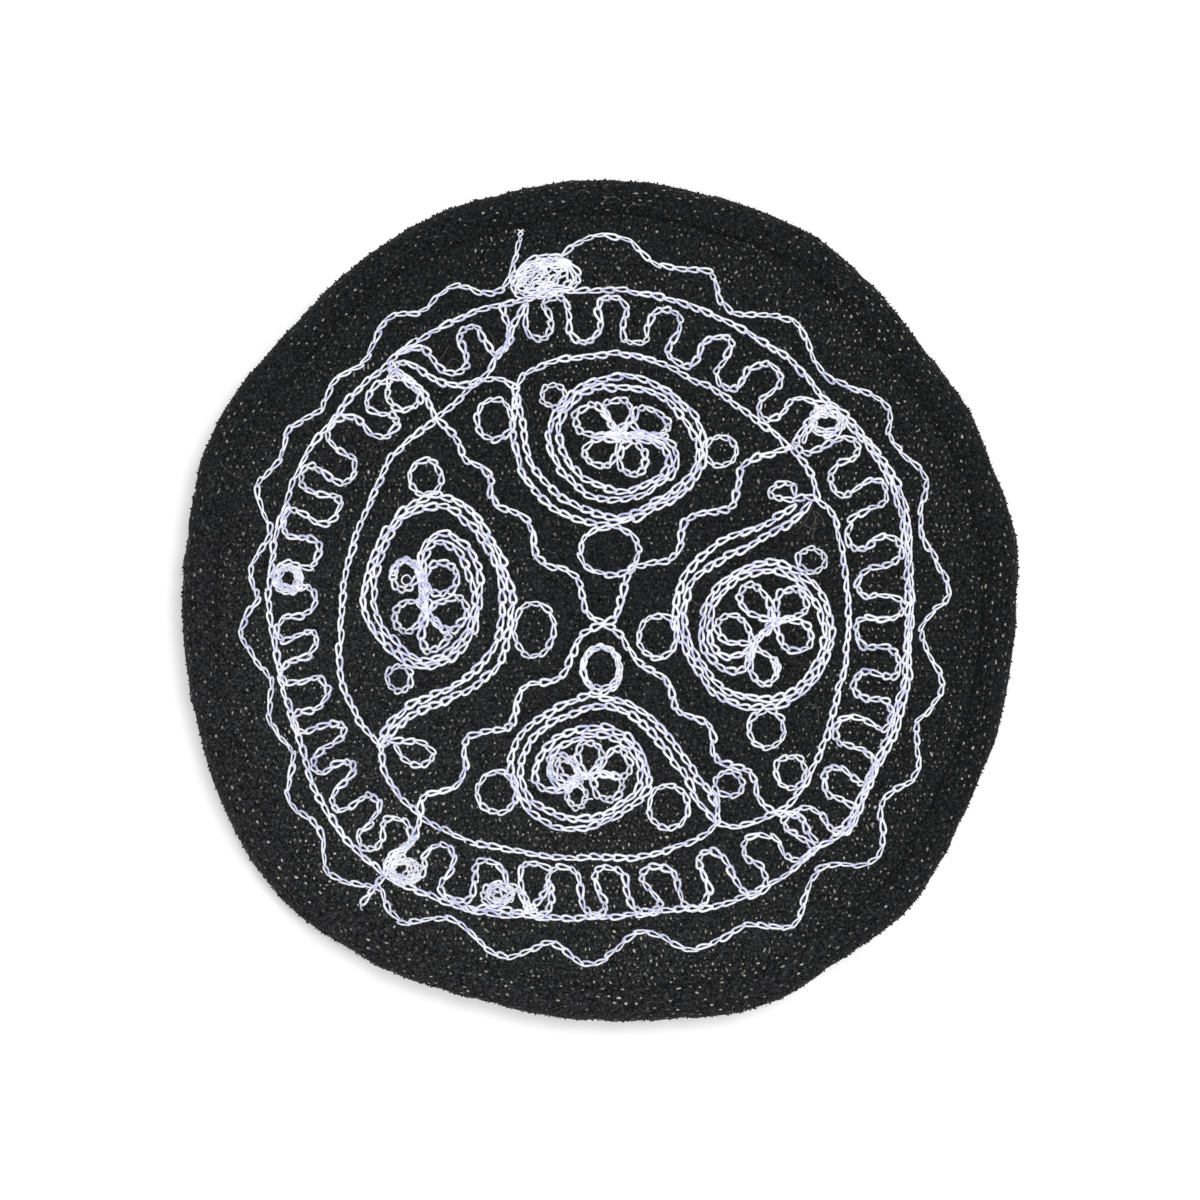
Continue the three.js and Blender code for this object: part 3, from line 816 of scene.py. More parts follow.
# Rows that run across the border at the upper left and the lower left.
CORNER_STRANDS = [
    [(526, 304), (520, 314), (513, 326), (509, 338), (506, 348), (498, 356), (494, 364), (489, 372),
     (482, 380)],
    [(388, 371), (396, 363), (407, 363), (417, 367), (425, 374), (434, 380), (445, 384), (457, 386),
     (468, 385), (480, 381)],
    [(395, 368), (404, 376), (412, 383), (421, 390), (427, 398), (431, 407), (436, 418)],
    [(391, 360), (395, 371), (402, 378), (411, 386), (420, 392)],
    [(418, 835), (410, 843), (400, 849), (390, 856), (385, 864)],
]
# The stepped rows that meet at the middle.
DIVIDERS = [
    [(436, 418), (443, 426), (453, 433), (459, 441), (462, 455), (470, 463), (483, 468), (491, 476),
     (491, 488), (492, 500), (498, 507), (511, 512), (525, 517), (532, 528), (533, 540), (534, 552),
     (541, 561), (554, 566), (567, 571), (577, 578), (581, 590), (583, 602), (586, 613), (594, 620),
     (603, 624)],
    [(603, 624), (612, 620), (619, 611), (624, 589), (631, 569), (649, 565), (671, 559), (680, 546),
     (682, 529), (691, 516), (711, 512), (731, 507), (737, 489), (741, 469), (753, 459), (767, 455),
     (778, 452), (787, 451), (797, 446)],
    [(603, 624), (590, 630), (578, 637), (574, 648), (571, 660), (566, 673), (555, 681), (540, 682),
     (525, 686), (517, 698), (515, 712), (511, 727), (488, 732), (472, 735), (465, 743), (465, 757),
     (466, 768), (463, 777), (457, 784), (448, 789), (437, 791), (427, 794), (421, 802), (419, 818),
     (418, 828), (415, 838), (407, 846), (397, 854), (390, 864), (384, 876), (376, 884), (370, 893),
     (364, 903)],
    [(603, 624), (613, 628), (620, 634), (626, 644), (630, 653), (637, 662), (647, 668), (657, 672),
     (665, 678), (670, 688), (672, 698), (676, 710), (686, 716), (698, 719), (708, 724), (713, 736),
     (713, 748), (716, 758), (724, 764), (735, 766), (746, 769), (753, 774), (756, 784), (758, 795),
     (763, 804), (771, 810), (783, 813), (797, 815)],
]
# The flowers: the spirals round each one, row by row, and its petals, begun and ended at its middle.
TOP_FLOWER = [
    [(640, 437), (655, 438), (666, 441), (674, 448), (677, 460), (675, 470), (668, 478), (660, 483),
     (650, 490), (640, 496), (628, 499), (615, 500), (602, 499), (590, 495), (580, 490), (572, 482),
     (563, 473), (556, 463), (551, 453), (548, 440), (549, 428), (553, 418), (560, 408), (568, 398),
     (580, 387), (595, 381), (610, 377), (622, 376), (635, 378), (650, 383), (665, 391), (680, 402),
     (691, 413), (699, 424), (704, 437), (705, 448), (703, 460), (699, 472), (692, 483), (682, 493),
     (670, 501), (657, 508), (645, 514), (630, 520), (613, 524), (600, 525), (580, 520), (562, 513),
     (550, 506), (540, 496), (530, 485), (521, 470), (517, 455), (514, 440), (514, 420), (515, 400),
     (517, 386)],
    [(638, 440), (650, 441), (662, 446), (668, 453), (670, 461), (667, 469), (660, 478), (652, 482),
     (642, 486), (630, 490), (617, 491), (604, 488), (592, 482), (582, 477), (574, 470), (568, 461),
     (563, 452), (560, 441), (559, 430), (561, 420), (566, 411), (573, 402), (581, 394), (592, 388),
     (605, 386), (620, 387), (635, 387), (645, 390), (655, 395), (665, 400), (676, 410), (685, 420),
     (692, 430), (697, 441), (699, 452), (697, 465), (690, 476), (681, 485), (670, 494), (657, 501),
     (645, 508), (632, 514), (618, 517), (600, 515), (585, 510), (570, 503), (555, 492), (543, 480),
     (533, 467), (528, 455), (525, 440), (524, 425), (521, 410), (518, 396)],
    [(616, 432), (610, 421), (603, 409), (594, 404), (584, 406), (577, 411), (575, 420), (578, 428),
     (584, 433), (594, 435), (604, 435), (616, 434)],
    [(617, 429), (609, 420), (603, 412), (603, 405), (611, 401), (620, 399), (628, 402), (632, 410),
     (632, 418), (627, 424), (619, 428)],
    [(635, 421), (634, 414), (640, 408), (648, 409), (658, 414), (667, 420), (669, 428), (664, 434),
     (655, 435), (645, 434), (638, 430), (632, 423)],
    [(592, 437), (604, 437), (616, 436), (628, 436), (640, 437), (652, 436), (666, 436)],
    [(604, 433), (616, 434), (628, 434), (641, 435)],
    [(619, 441), (606, 438), (594, 441), (586, 446), (584, 454), (588, 461), (596, 466), (604, 467),
     (612, 462), (617, 454), (620, 443)],
    [(622, 446), (620, 456), (621, 466), (627, 473), (635, 475), (643, 470), (646, 460), (644, 450),
     (638, 444), (630, 441), (622, 446)],
    [(612, 424), (618, 432), (626, 440)],
    [(630, 424), (622, 431), (616, 440)],
]
LEFT_FLOWER = [
    [(426, 614), (425, 600), (424, 588), (421, 575), (420, 562), (422, 550), (428, 540), (437, 534),
     (447, 532), (457, 538), (466, 546), (473, 556), (478, 568), (480, 580), (480, 592), (479, 604),
     (477, 617), (474, 630), (468, 641), (460, 651), (450, 660), (440, 665), (430, 668), (418, 667),
     (407, 662), (397, 655), (388, 647), (379, 637), (371, 626), (366, 613), (364, 600), (365, 586),
     (368, 573), (373, 560), (378, 548), (385, 534), (392, 524), (400, 514), (412, 505), (425, 498),
     (440, 496), (452, 499), (462, 504), (470, 511), (478, 520), (486, 531), (494, 542), (500, 553),
     (504, 566), (508, 578), (511, 590), (513, 602), (511, 615), (509, 628), (506, 641), (503, 655),
     (495, 668), (483, 680), (470, 689), (455, 696), (441, 702), (425, 708), (410, 715), (399, 725),
     (391, 736), (384, 745)],
    [(428, 614), (427, 600), (426, 586), (424, 572), (424, 558), (428, 547), (436, 542), (447, 543),
     (457, 550), (464, 560), (469, 572), (473, 585), (475, 597), (474, 611), (471, 624), (464, 636),
     (455, 646), (445, 654), (432, 660), (420, 660), (410, 655), (402, 648), (393, 639), (384, 629),
     (378, 617), (374, 605), (373, 592), (374, 578), (377, 565), (382, 552), (388, 540), (395, 528),
     (403, 518), (415, 511), (428, 507), (440, 507), (453, 510), (463, 518), (472, 527), (480, 536),
     (486, 545), (492, 554), (496, 566), (500, 578), (502, 590), (503, 602), (503, 614), (501, 626),
     (497, 638), (491, 650), (484, 661), (475, 670), (466, 678), (455, 685), (442, 691), (428, 697),
     (412, 704), (400, 713), (390, 724), (382, 737), (380, 746)],
    [(418, 560), (420, 574), (422, 588), (423, 602), (424, 615)],
    [(420, 576), (417, 568), (410, 561), (401, 561), (394, 568), (392, 577), (395, 586), (402, 590),
     (411, 587), (417, 581), (419, 571), (413, 562), (404, 560), (396, 565), (392, 573)],
    [(425, 580), (428, 570), (436, 564), (446, 563), (455, 567), (457, 576), (455, 586), (448, 592),
     (440, 595), (431, 592), (426, 584)],
    [(425, 611), (420, 603), (410, 601), (401, 604), (396, 611), (395, 620), (399, 628), (407, 632),
     (415, 629), (421, 622), (425, 613)],
    [(428, 612), (434, 604), (442, 602), (452, 597), (460, 598), (466, 606), (467, 614), (463, 623),
     (455, 629), (447, 630), (440, 628), (434, 621), (428, 614)],
    [(427, 614), (424, 626), (421, 638), (423, 648), (431, 651), (440, 647), (447, 641), (448, 633),
     (441, 627), (433, 620)],
]
RIGHT_FLOWER = [
    [(796, 504), (784, 514), (770, 521), (758, 527), (746, 532), (734, 535), (722, 540), (712, 547),
     (702, 556), (691, 566), (683, 578), (678, 593), (676, 607), (677, 624), (681, 640), (686, 652),
     (693, 665), (700, 676), (710, 688), (722, 698), (735, 704), (748, 708), (760, 708), (775, 707),
     (788, 702), (800, 694), (812, 683), (820, 671), (826, 658), (831, 644), (832, 630), (830, 616),
     (826, 604), (819, 592), (812, 582), (803, 575), (793, 569), (783, 564), (770, 562), (757, 564),
     (745, 568), (735, 573), (725, 578), (718, 586), (711, 595), (706, 606), (703, 618), (702, 630),
     (702, 642), (706, 652), (713, 661), (722, 668), (732, 672), (743, 670), (750, 660), (752, 648)],
    [(811, 502), (803, 512), (792, 521), (780, 528), (768, 534), (757, 541), (745, 548), (733, 554),
     (720, 560), (708, 567), (698, 574), (690, 583), (686, 594), (684, 607), (683, 620), (686, 634),
     (690, 645), (696, 656), (703, 667), (711, 677), (720, 686), (732, 692), (745, 697), (757, 699),
     (770, 700), (782, 697), (793, 691), (803, 683), (810, 673), (817, 662), (822, 650), (824, 637),
     (823, 624), (820, 612), (815, 601), (808, 592), (800, 584), (790, 577), (780, 572), (770, 570),
     (758, 571), (746, 575), (735, 580), (727, 588), (720, 596), (713, 605), (710, 617), (709, 630),
     (710, 641), (715, 650), (724, 656), (734, 657), (744, 654), (752, 648)],
    [(772, 621), (762, 618), (750, 614), (741, 606), (739, 597), (743, 588), (751, 584), (760, 588),
     (767, 596), (770, 606), (773, 620)],
    [(774, 622), (776, 611), (777, 600), (782, 592), (791, 588), (800, 591), (805, 599), (806, 608),
     (802, 615), (792, 618), (782, 620), (774, 623)],
    [(776, 624), (786, 621), (797, 621), (805, 624), (810, 632), (811, 641), (806, 649), (797, 651),
     (788, 650), (781, 643), (779, 634), (775, 624)],
    [(776, 619), (765, 630), (755, 641), (747, 652)],
    [(772, 625), (763, 636), (754, 647), (750, 660)],
    [(752, 644), (742, 643), (732, 645), (723, 640), (718, 632), (717, 624), (723, 617), (732, 616),
     (741, 617), (746, 625), (750, 634), (753, 643)],
    [(752, 646), (751, 656), (749, 667), (753, 677), (758, 683), (765, 685), (772, 680), (776, 672),
     (777, 664), (774, 659), (766, 656), (760, 651), (752, 647)],
    [(775, 676), (778, 667), (773, 659)],
]
BOTTOM_FLOWER = [
    [(717, 806), (714, 797), (706, 788), (698, 779), (692, 770), (686, 760), (680, 750), (673, 740),
     (665, 731), (655, 722), (645, 714), (635, 707), (624, 702), (612, 699), (600, 697), (590, 695),
     (580, 698), (570, 702), (560, 707), (550, 712), (540, 717), (530, 724), (522, 733), (516, 744),
     (512, 755), (510, 766), (512, 778), (516, 790), (521, 802), (528, 811), (537, 818), (547, 824),
     (558, 828), (570, 829), (582, 828), (594, 826), (606, 821), (617, 815), (628, 808), (638, 801),
     (645, 793), (650, 784), (648, 772), (645, 760), (640, 750), (633, 741), (624, 734), (612, 729),
     (600, 727), (588, 728), (575, 731), (563, 735), (552, 741), (545, 748), (541, 757), (536, 764),
     (534, 773), (538, 783), (545, 789), (555, 791), (566, 789), (576, 782)],
    [(717, 822), (711, 816), (704, 808), (697, 798), (691, 788), (686, 779), (680, 770), (673, 761),
     (666, 751), (659, 741), (651, 732), (642, 724), (633, 717), (622, 711), (610, 706), (598, 706),
     (588, 708), (576, 712), (565, 717), (553, 722), (543, 728), (534, 735), (527, 745), (523, 757),
     (520, 768), (521, 780), (524, 791), (530, 800), (538, 807), (548, 812), (560, 816), (572, 819),
     (584, 819), (595, 816), (607, 812), (618, 806), (628, 799), (636, 791), (641, 781), (641, 770),
     (638, 760), (631, 750), (622, 742), (612, 737), (600, 735), (588, 735), (577, 738), (566, 742),
     (557, 749), (551, 758), (548, 768), (551, 777), (558, 785), (567, 788), (576, 783)],
    [(716, 794), (717, 804), (717, 814), (716, 823)],
    [(583, 777), (577, 768), (573, 760), (567, 755), (560, 753), (553, 757), (549, 765), (551, 773),
     (556, 779), (564, 783), (573, 784), (582, 780), (578, 771), (573, 764), (566, 758), (559, 760),
     (557, 768), (562, 776), (571, 779), (580, 777)],
    [(587, 776), (580, 766), (576, 757), (578, 747), (585, 742), (593, 742), (600, 749), (602, 758),
     (598, 766), (590, 774)],
    [(589, 775), (600, 768), (605, 758), (610, 751), (619, 749), (626, 755), (630, 764), (628, 773),
     (620, 777), (610, 775), (600, 773), (590, 776)],
    [(590, 776), (594, 786), (598, 795), (606, 801), (615, 798), (621, 791), (623, 783), (618, 777),
     (609, 776), (600, 772)],
    [(574, 782), (568, 790), (567, 798), (571, 804), (579, 808), (585, 802), (586, 794), (583, 787),
     (577, 783)],
    [(592, 777), (582, 777), (573, 781), (566, 787)],
    [(586, 771), (592, 779)],
]
# The small rings beside the flowers and the knots: middle, and half width and height.
SMALL_RINGS = [
    (553, 396, 12.5, 11), (495, 420, 18, 20.5), (720.5, 451, 15.5, 15.5), (609.5, 551, 30, 24),
    (426, 477.5, 16, 18), (533.5, 630, 20.5, 27), (399.5, 678, 12.5, 13.5), (657.5, 636.5, 19.5, 21.5),
    (766, 729, 18.5, 19), (811.5, 560.5, 13.5, 12), (601.5, 670, 20, 23), (601, 668, 18, 21),
    (497, 792, 20.5, 21), (668, 806.5, 19.5, 22), (728.5, 784, 14, 13), (790, 772, 15, 16.5),
]
KNOTS = [
    (288, 578, 14.5, 14.5), (288, 578, 11.5, 11.5), (287.5, 578.5, 13, 13), (288, 578.5, 10, 10),
    (497, 894, 15, 11.5), (498, 895, 8, 7), (500, 893, 12, 9), (827.5, 423, 13.5, 9.5), (827, 424, 15, 13),
    (403, 868, 14, 11), (401, 868, 9, 8), (406, 870, 13, 10),
]
# The oval knot at the top, wound over and over, and rows that run into the knots.
KNOT_ROWS = [
    [(510, 283), (518, 270), (527, 263), (538, 258), (550, 256), (561, 258), (570, 264), (577, 272),
     (579, 280), (574, 287), (562, 290), (548, 293), (535, 297), (522, 297), (514, 290), (514, 280),
     (521, 270), (532, 263), (545, 260), (557, 262), (567, 268), (573, 277), (566, 285), (552, 289),
     (538, 292), (526, 292), (519, 285), (521, 276), (530, 269), (542, 265), (554, 267), (561, 274),
     (555, 282), (543, 286), (531, 286), (525, 280), (530, 273), (541, 270), (549, 275), (543, 281),
     (533, 280)],
    [(516, 288), (524, 279), (534, 271), (545, 264), (558, 260), (569, 266)],
    [(524, 294), (533, 284), (543, 275), (553, 268), (563, 264)],
    [(536, 294), (546, 285), (556, 277), (565, 272)],
    [(816, 405), (817, 414), (811, 423), (806, 432), (803, 441)],
    [(505, 884), (515, 889), (524, 893), (528, 901), (529, 911)],
    [(474, 909), (485, 907), (497, 909), (510, 911), (522, 913), (535, 911)],
    [(443, 895), (453, 901), (464, 905), (475, 911)],
    [(392, 860), (388, 868), (392, 876), (401, 882), (412, 882)],
]
# Threads that the stitching left loose: a curl, and the two cut ends.
LOOSE_THREADS = [
    [(412, 580), (408, 575), (403, 577), (402, 582), (406, 585), (411, 583)],
    [(520, 243), (519, 238), (523, 234), (518, 230)],
    [(520, 243), (522, 239), (518, 235), (523, 230)],
    [(364, 903), (361, 906), (363, 910)],
    [(583, 801), (588, 799), (593, 799)],
]

# Short wool fibres that stand out of the cloth, in millimetres: radius, and points along the fibre.
FIBRES = [
    (0.07, [(0.0, 0.0, -0.1), (0.1, 0.05, 0.45), (0.45, 0.05, 0.75)]),
    (0.28, [(0.0, 0.0, -0.1), (-0.05, 0.06, 0.22), (-0.15, 0.2, 0.40)]),
    (0.38, [(0.0, 0.0, -0.1), (0.0, 0.02, 0.19), (0.12, 0.1, 0.35)]),
    (0.32, [(0.0, 0.0, -0.1), (0.04, 0.0, 0.2), (0.25, -0.16, 0.36)]),
]
# Where they grow: a piece's name, its cloth, fibres to the square metre, and the least and most lean from
# upright in radians.
FUZZ = [
    ("wool_fuzz_side", "side", 210000.0, 0.0, 0.8),
    ("wool_fuzz_top", "top", 75000.0, 0.8, 1.45),
]
# How a fibre thins towards its tip, and in millimetres how high stray hairs lie at their ends and in the
# middle, and their radius.
FIBRE_TAPER = np.array([1.0, 1.0, 0.7])
HAIR_LIFT = (0.25, 1.1)
HAIR_RADIUS = 0.05
HAIR_SIDES = 3
# Stray hairs caught on the wool, in the photograph's pixels.
STRAY_HAIRS = [
    [(521, 398), (527, 407), (529, 419)],
    [(814, 504), (806, 519), (799, 529)],
    [(813, 509), (815, 522), (812, 538)],
    [(815, 511), (822, 518), (824, 527)],
    [(805, 525), (811, 529), (818, 528)],
    [(818, 514), (813, 524), (809, 534)],
    [(805, 704), (814, 705), (818, 713), (818, 724)],
    [(770, 684), (778, 689), (780, 702), (780, 714)],
    [(757, 508), (762, 513), (763, 520)],
    [(222, 463), (231, 473), (243, 480)],
    [(833, 276), (837, 278), (837, 284), (839, 289), (843, 289), (846, 286)],
    [(600, 277), (607, 285), (613, 293)],
    [(613, 276), (607, 286), (603, 294)],
    [(597, 289), (608, 286), (618, 284)],
    [(575, 198), (582, 192), (591, 196)],
    [(600, 205), (612, 199), (623, 203)],
    [(625, 212), (633, 206), (641, 208)],
    [(436, 362), (443, 356), (450, 344)],
    [(446, 366), (453, 359), (463, 364)],
    [(473, 352), (480, 359), (487, 352)],
    [(487, 330), (493, 338), (495, 349)],
    [(388, 808), (394, 812), (402, 805)],
    [(411, 845), (414, 852), (414, 861)],
    [(360, 776), (370, 778), (380, 776)],
    [(850, 715), (857, 712), (864, 719), (868, 728)],
    [(630, 566), (634, 556), (642, 552)],
    [(690, 600), (700, 606), (703, 616)],
]


def spline(points, step):
    """A smooth line through points, with a point about every step of their unit."""
    points = np.asarray(points, dtype=float)
    before = np.concatenate([points[:1], points[:-2]])
    after = np.concatenate([points[2:], points[-1:]])
    line = []
    for a, b, c, d in zip(before, points[:-1], points[1:], after):
        count = max(2, math.ceil(np.linalg.norm(c - b) / step))
        t = np.arange(count)[:, None] / count
        line.append(0.5 * (2 * b + (c - a) * t + (2 * a - 5 * b + 4 * c - d) * t ** 2
                           + (3 * b - a - 3 * c + d) * t ** 3))
    return np.concatenate([*line, points[-1:]])


def ring(x, y, half_width, half_height, start=0.0):
    """A closed ring of stitches, from a start angle in degrees and round to it again."""
    turn = np.radians(start + np.arange(0, 361, 20))
    return np.stack([x + half_width * np.cos(turn), y + half_height * np.sin(turn)], axis=1)


def rings(rounds):
    """All of a table's rings, each begun at an angle of its own."""
    return [ring(*row, start=57.0 * i) for i, row in enumerate(rounds)]


# Each piece's rows, and how wide its loops are at least and at most.
STITCHES = {
    "outer_wave": ([OUTER_WAVE], 0.74, 1.08),
    "main_ring": ([MAIN_RING, RING_SECOND], 0.85, 1.25),
    "inner_ring": (INNER_RING, 0.85, 1.2),
    "looped_border": ([*LOOPED_BORDER, *CORNER_STRANDS], 0.85, 1.3),
    "dividers": (DIVIDERS, 0.9, 1.35),
    "top_flower": (TOP_FLOWER, 0.95, 1.35),
    "left_flower": (LEFT_FLOWER, 0.95, 1.4),
    "right_flower": (RIGHT_FLOWER, 0.95, 1.35),
    "bottom_flower": (BOTTOM_FLOWER, 0.95, 1.35),
    "small_rings": (rings(SMALL_RINGS), 0.8, 1.15),
    "knots": ([*rings(KNOTS), *KNOT_ROWS], 0.85, 1.25),
}

# One chain stitch, in millimetres: its length from hole to hole where a row runs straight. Rows that turn
# tightly are sewn in shorter stitches.
STITCH_LENGTH = 4.1
SHORTEST_STITCH = 2.5
STITCH_VARIES = (0.9, 1.1)
TURN_SHARE = 1.42
# How far apart along a row its bend is measured, and how many of those places it is evened out over.
BEND_STEP = 0.5
BEND_WINDOW = 7
THREAD_RADIUS = 0.385
THREAD_SIDES = 6
# Loose threads lie this high, and are this share as thick as sewn ones.
LOOSE_LIFT = 0.9
LOOSE_THINNER = 0.7
# Half of a stitch, along, out and up.
HALF_STITCH = [
    (-0.10, 0.20, -0.55), (0.15, 0.26, 0.40), (0.62, 0.34, 1.06), (1.40, 0.52, 0.88), (2.40, 0.76, 0.48),
    (3.45, 0.86, 0.38), (4.28, 0.66, 0.38), (4.76, 0.26, 0.38),
]
# How far each side of a loop stands out, for the loops that the rows are made of.
LOOP_SIDES = [(1.0, 1.0), (1.22, 0.72), (0.72, 1.22), (1.05, 0.9), (0.85, 0.6), (0.62, 0.9)]


def stitch_holes(row, seed):
    """The places where a row's needle went in, closer together where the row turns."""
    draw = np.random.default_rng(seed)
    line = spline(row, BEND_STEP / 2)
    run = run_along(line)
    places = np.arange(0, run[-1], BEND_STEP)
    along = np.stack([np.interp(places, run, line[:, k]) for k in (0, 1)], axis=1)
    heading = np.unwrap(np.arctan2(np.gradient(along[:, 1]), np.gradient(along[:, 0])))
    turning = np.pad(np.gradient(heading), BEND_WINDOW // 2, mode="edge")
    bend = np.abs(np.convolve(turning, np.ones(BEND_WINDOW) / BEND_WINDOW, mode="valid")) / BEND_STEP
    pitch = np.clip(TURN_SHARE / np.sqrt(np.maximum(bend, 1e-4)), SHORTEST_STITCH, STITCH_LENGTH)
    holes = [0.0]
    while holes[-1] < run[-1]:
        step = np.interp(holes[-1], np.arange(len(pitch)) * BEND_STEP, pitch)
        holes.append(holes[-1] + step * draw.uniform(*STITCH_VARIES))
    holes = np.array(holes) * (run[-1] / holes[-1])
    return np.stack([np.interp(holes, run, line[:, k]) for k in (0, 1)], axis=1)


def tube(path, radius, sides):
    """A thin closed tube along a line: its points, faces and map, whose second axis is 0.25 on top of it."""
    path = np.asarray(path, dtype=float)
    ways = np.gradient(path, axis=0)
    ways /= np.linalg.norm(ways, axis=1, keepdims=True)
    run = run_along(path)
    points = []
    for here, way, size in zip(path, ways, np.broadcast_to(radius, len(path))):
        side = np.cross((0, 0, 1), way)
        side /= np.linalg.norm(side)
        over = np.cross(way, side)
        for turn in (2 * math.pi * k / sides for k in range(sides)):
            points.append(here + (side * math.cos(turn) + over * math.sin(turn)) * size)
    faces = []
    uv = []
    for i in range(len(path) - 1):
        for k in range(sides):
            for row, step in ((i, 0), (i, 1), (i + 1, 1), (i + 1, 0)):
                uv.append((run[row], (k + step) / sides))
            first, after = i * sides + k, i * sides + (k + 1) % sides
            faces.append((first, after, after + sides, first + sides))
    last = (len(path) - 1) * sides
    faces += [tuple(range(sides))[::-1], tuple(range(last, last + sides))]
    uv += [(0, k / sides) for k in range(sides)][::-1] + [(run[-1], k / sides) for k in range(sides)]
    return points, faces, uv


def thread_object(name, paths, radius, sides):
    """Lengths of thread along paths, with their map."""
    points, faces, uv = [], [], []
    for path in paths:
        start = len(points)
        places, rounds, places_on_map = tube(path, radius, sides)
        points += places
        faces += [tuple(start + k for k in face) for face in rounds]
        uv += places_on_map
    return mesh_object(name, points, faces, "thread", uv)


def kept_shapes(name, shapes):
    """A collection of shapes outside the scene, for a geometry tree to place."""
    collection = bpy.data.collections.new(name)
    for shape in shapes:
        bpy.context.scene.collection.objects.unlink(shape)
        collection.objects.link(shape)
    return collection


def drop_shapes(collection):
    """Removes a collection of shapes once they have been placed."""
    for shape in list(collection.objects):
        bpy.data.objects.remove(shape)
    bpy.data.collections.remove(collection)


def chain_loops():
    """The loops of thread that the rows are made of, each with its hole at the origin, in a collection."""
    half = np.array(HALF_STITCH)
    tip = np.array([[HALF_STITCH[-1][0] + 0.1, 0.0, HALF_STITCH[-1][2]]])
    loops = []
    for i, (left, right) in enumerate(LOOP_SIDES):
        path = np.concatenate([half * (1, left, 1), tip, half[::-1] * (1, -right, 1)])
        loops.append(thread_object(f"chain_loop_{i}", [path], THREAD_RADIUS, THREAD_SIDES))
    return kept_shapes("chain_loops", loops)


def geometry_tree(name, sizes):
    """An empty geometry tree with named inputs: the tree, its inputs and the identifiers they are set by."""
    tree = bpy.data.node_groups.new(name, "GeometryNodeTree")
    for in_out in ("INPUT", "OUTPUT"):
        tree.interface.new_socket(name="Geometry", in_out=in_out, socket_type="NodeSocketGeometry")
    keys = {}
    for label, kind in sizes.items():
        socket = tree.interface.new_socket(name=label, in_out="INPUT", socket_type="NodeSocket" + kind)
        keys[label] = socket.identifier
    given = tree.nodes.new("NodeGroupInput")
    return tree, {label: Wire(given.outputs[label]) for label in ("Geometry", *sizes)}, keys


# The first of the sockets that a random number or vector is limited by, and the one it comes out of.
RANDOM_SOCKETS = {"FLOAT_VECTOR": (0, 0), "FLOAT": (2, 1)}


def random_value(tree, low, high, seed, kind="FLOAT"):
    """A random number or vector for each point."""
    first, out = RANDOM_SOCKETS[kind]
    limits = {first: low, first + 1: high, "Seed": seed}
    return Wire.add(tree, "FunctionNodeRandomValue", {"data_type": kind}, limits, out)


def vector_math(tree, operation, *values, out=0):
    """A Vector Math node."""
    return Wire.add(tree, "ShaderNodeVectorMath", {"operation": operation}, dict(enumerate(values)), out)


def leant(tree, rotation, euler):
    """A rotation, turned further about its own axes."""
    leaning = Wire.add(tree, "FunctionNodeEulerToRotation", {}, {"Euler": euler})
    turn = {"Rotation": rotation, "Rotate By": leaning}
    return Wire.add(tree, "FunctionNodeRotateRotation", {"rotation_space": "LOCAL"}, turn)


def place_shapes(tree, shapes, count, pick_seed, shade_seed, material, sockets):
    """Ends a tree: one of a collection's shapes on each point, with a shade of its own, as a plain mesh."""
    apart = {"Collection": shapes, "Separate Children": True}
    shape = Wire.add(tree, "GeometryNodeCollectionInfo", {}, apart)
    picked = random_value(tree, 0.0, count - 0.001, pick_seed).floor()
    placed = {"Instance": shape, "Pick Instance": True, "Instance Index": picked, **sockets}
    instances = Wire.add(tree, "GeometryNodeInstanceOnPoints", {}, placed)
    kind = {"data_type": "FLOAT", "domain": "INSTANCE"}
    stored = {"Geometry": instances, "Name": "shade", "Value": random_value(tree, 0.0, 1.0, shade_seed)}
    shaded = Wire.add(tree, "GeometryNodeStoreNamedAttribute", kind, stored)
    real = Wire.add(tree, "GeometryNodeRealizeInstances", {}, {"Geometry": shaded})
    dressed = Wire.add(tree, "GeometryNodeSetMaterial", {}, {"Geometry": real, "Material": material})
    output = tree.nodes.new("NodeGroupOutput")
    tree.links.new(dressed.socket, output.inputs[0])


# The most that a stitch leans about its own length, across it and about the way up, in radians.
STITCH_LEAN = (0.34, 0.04, 0.10)


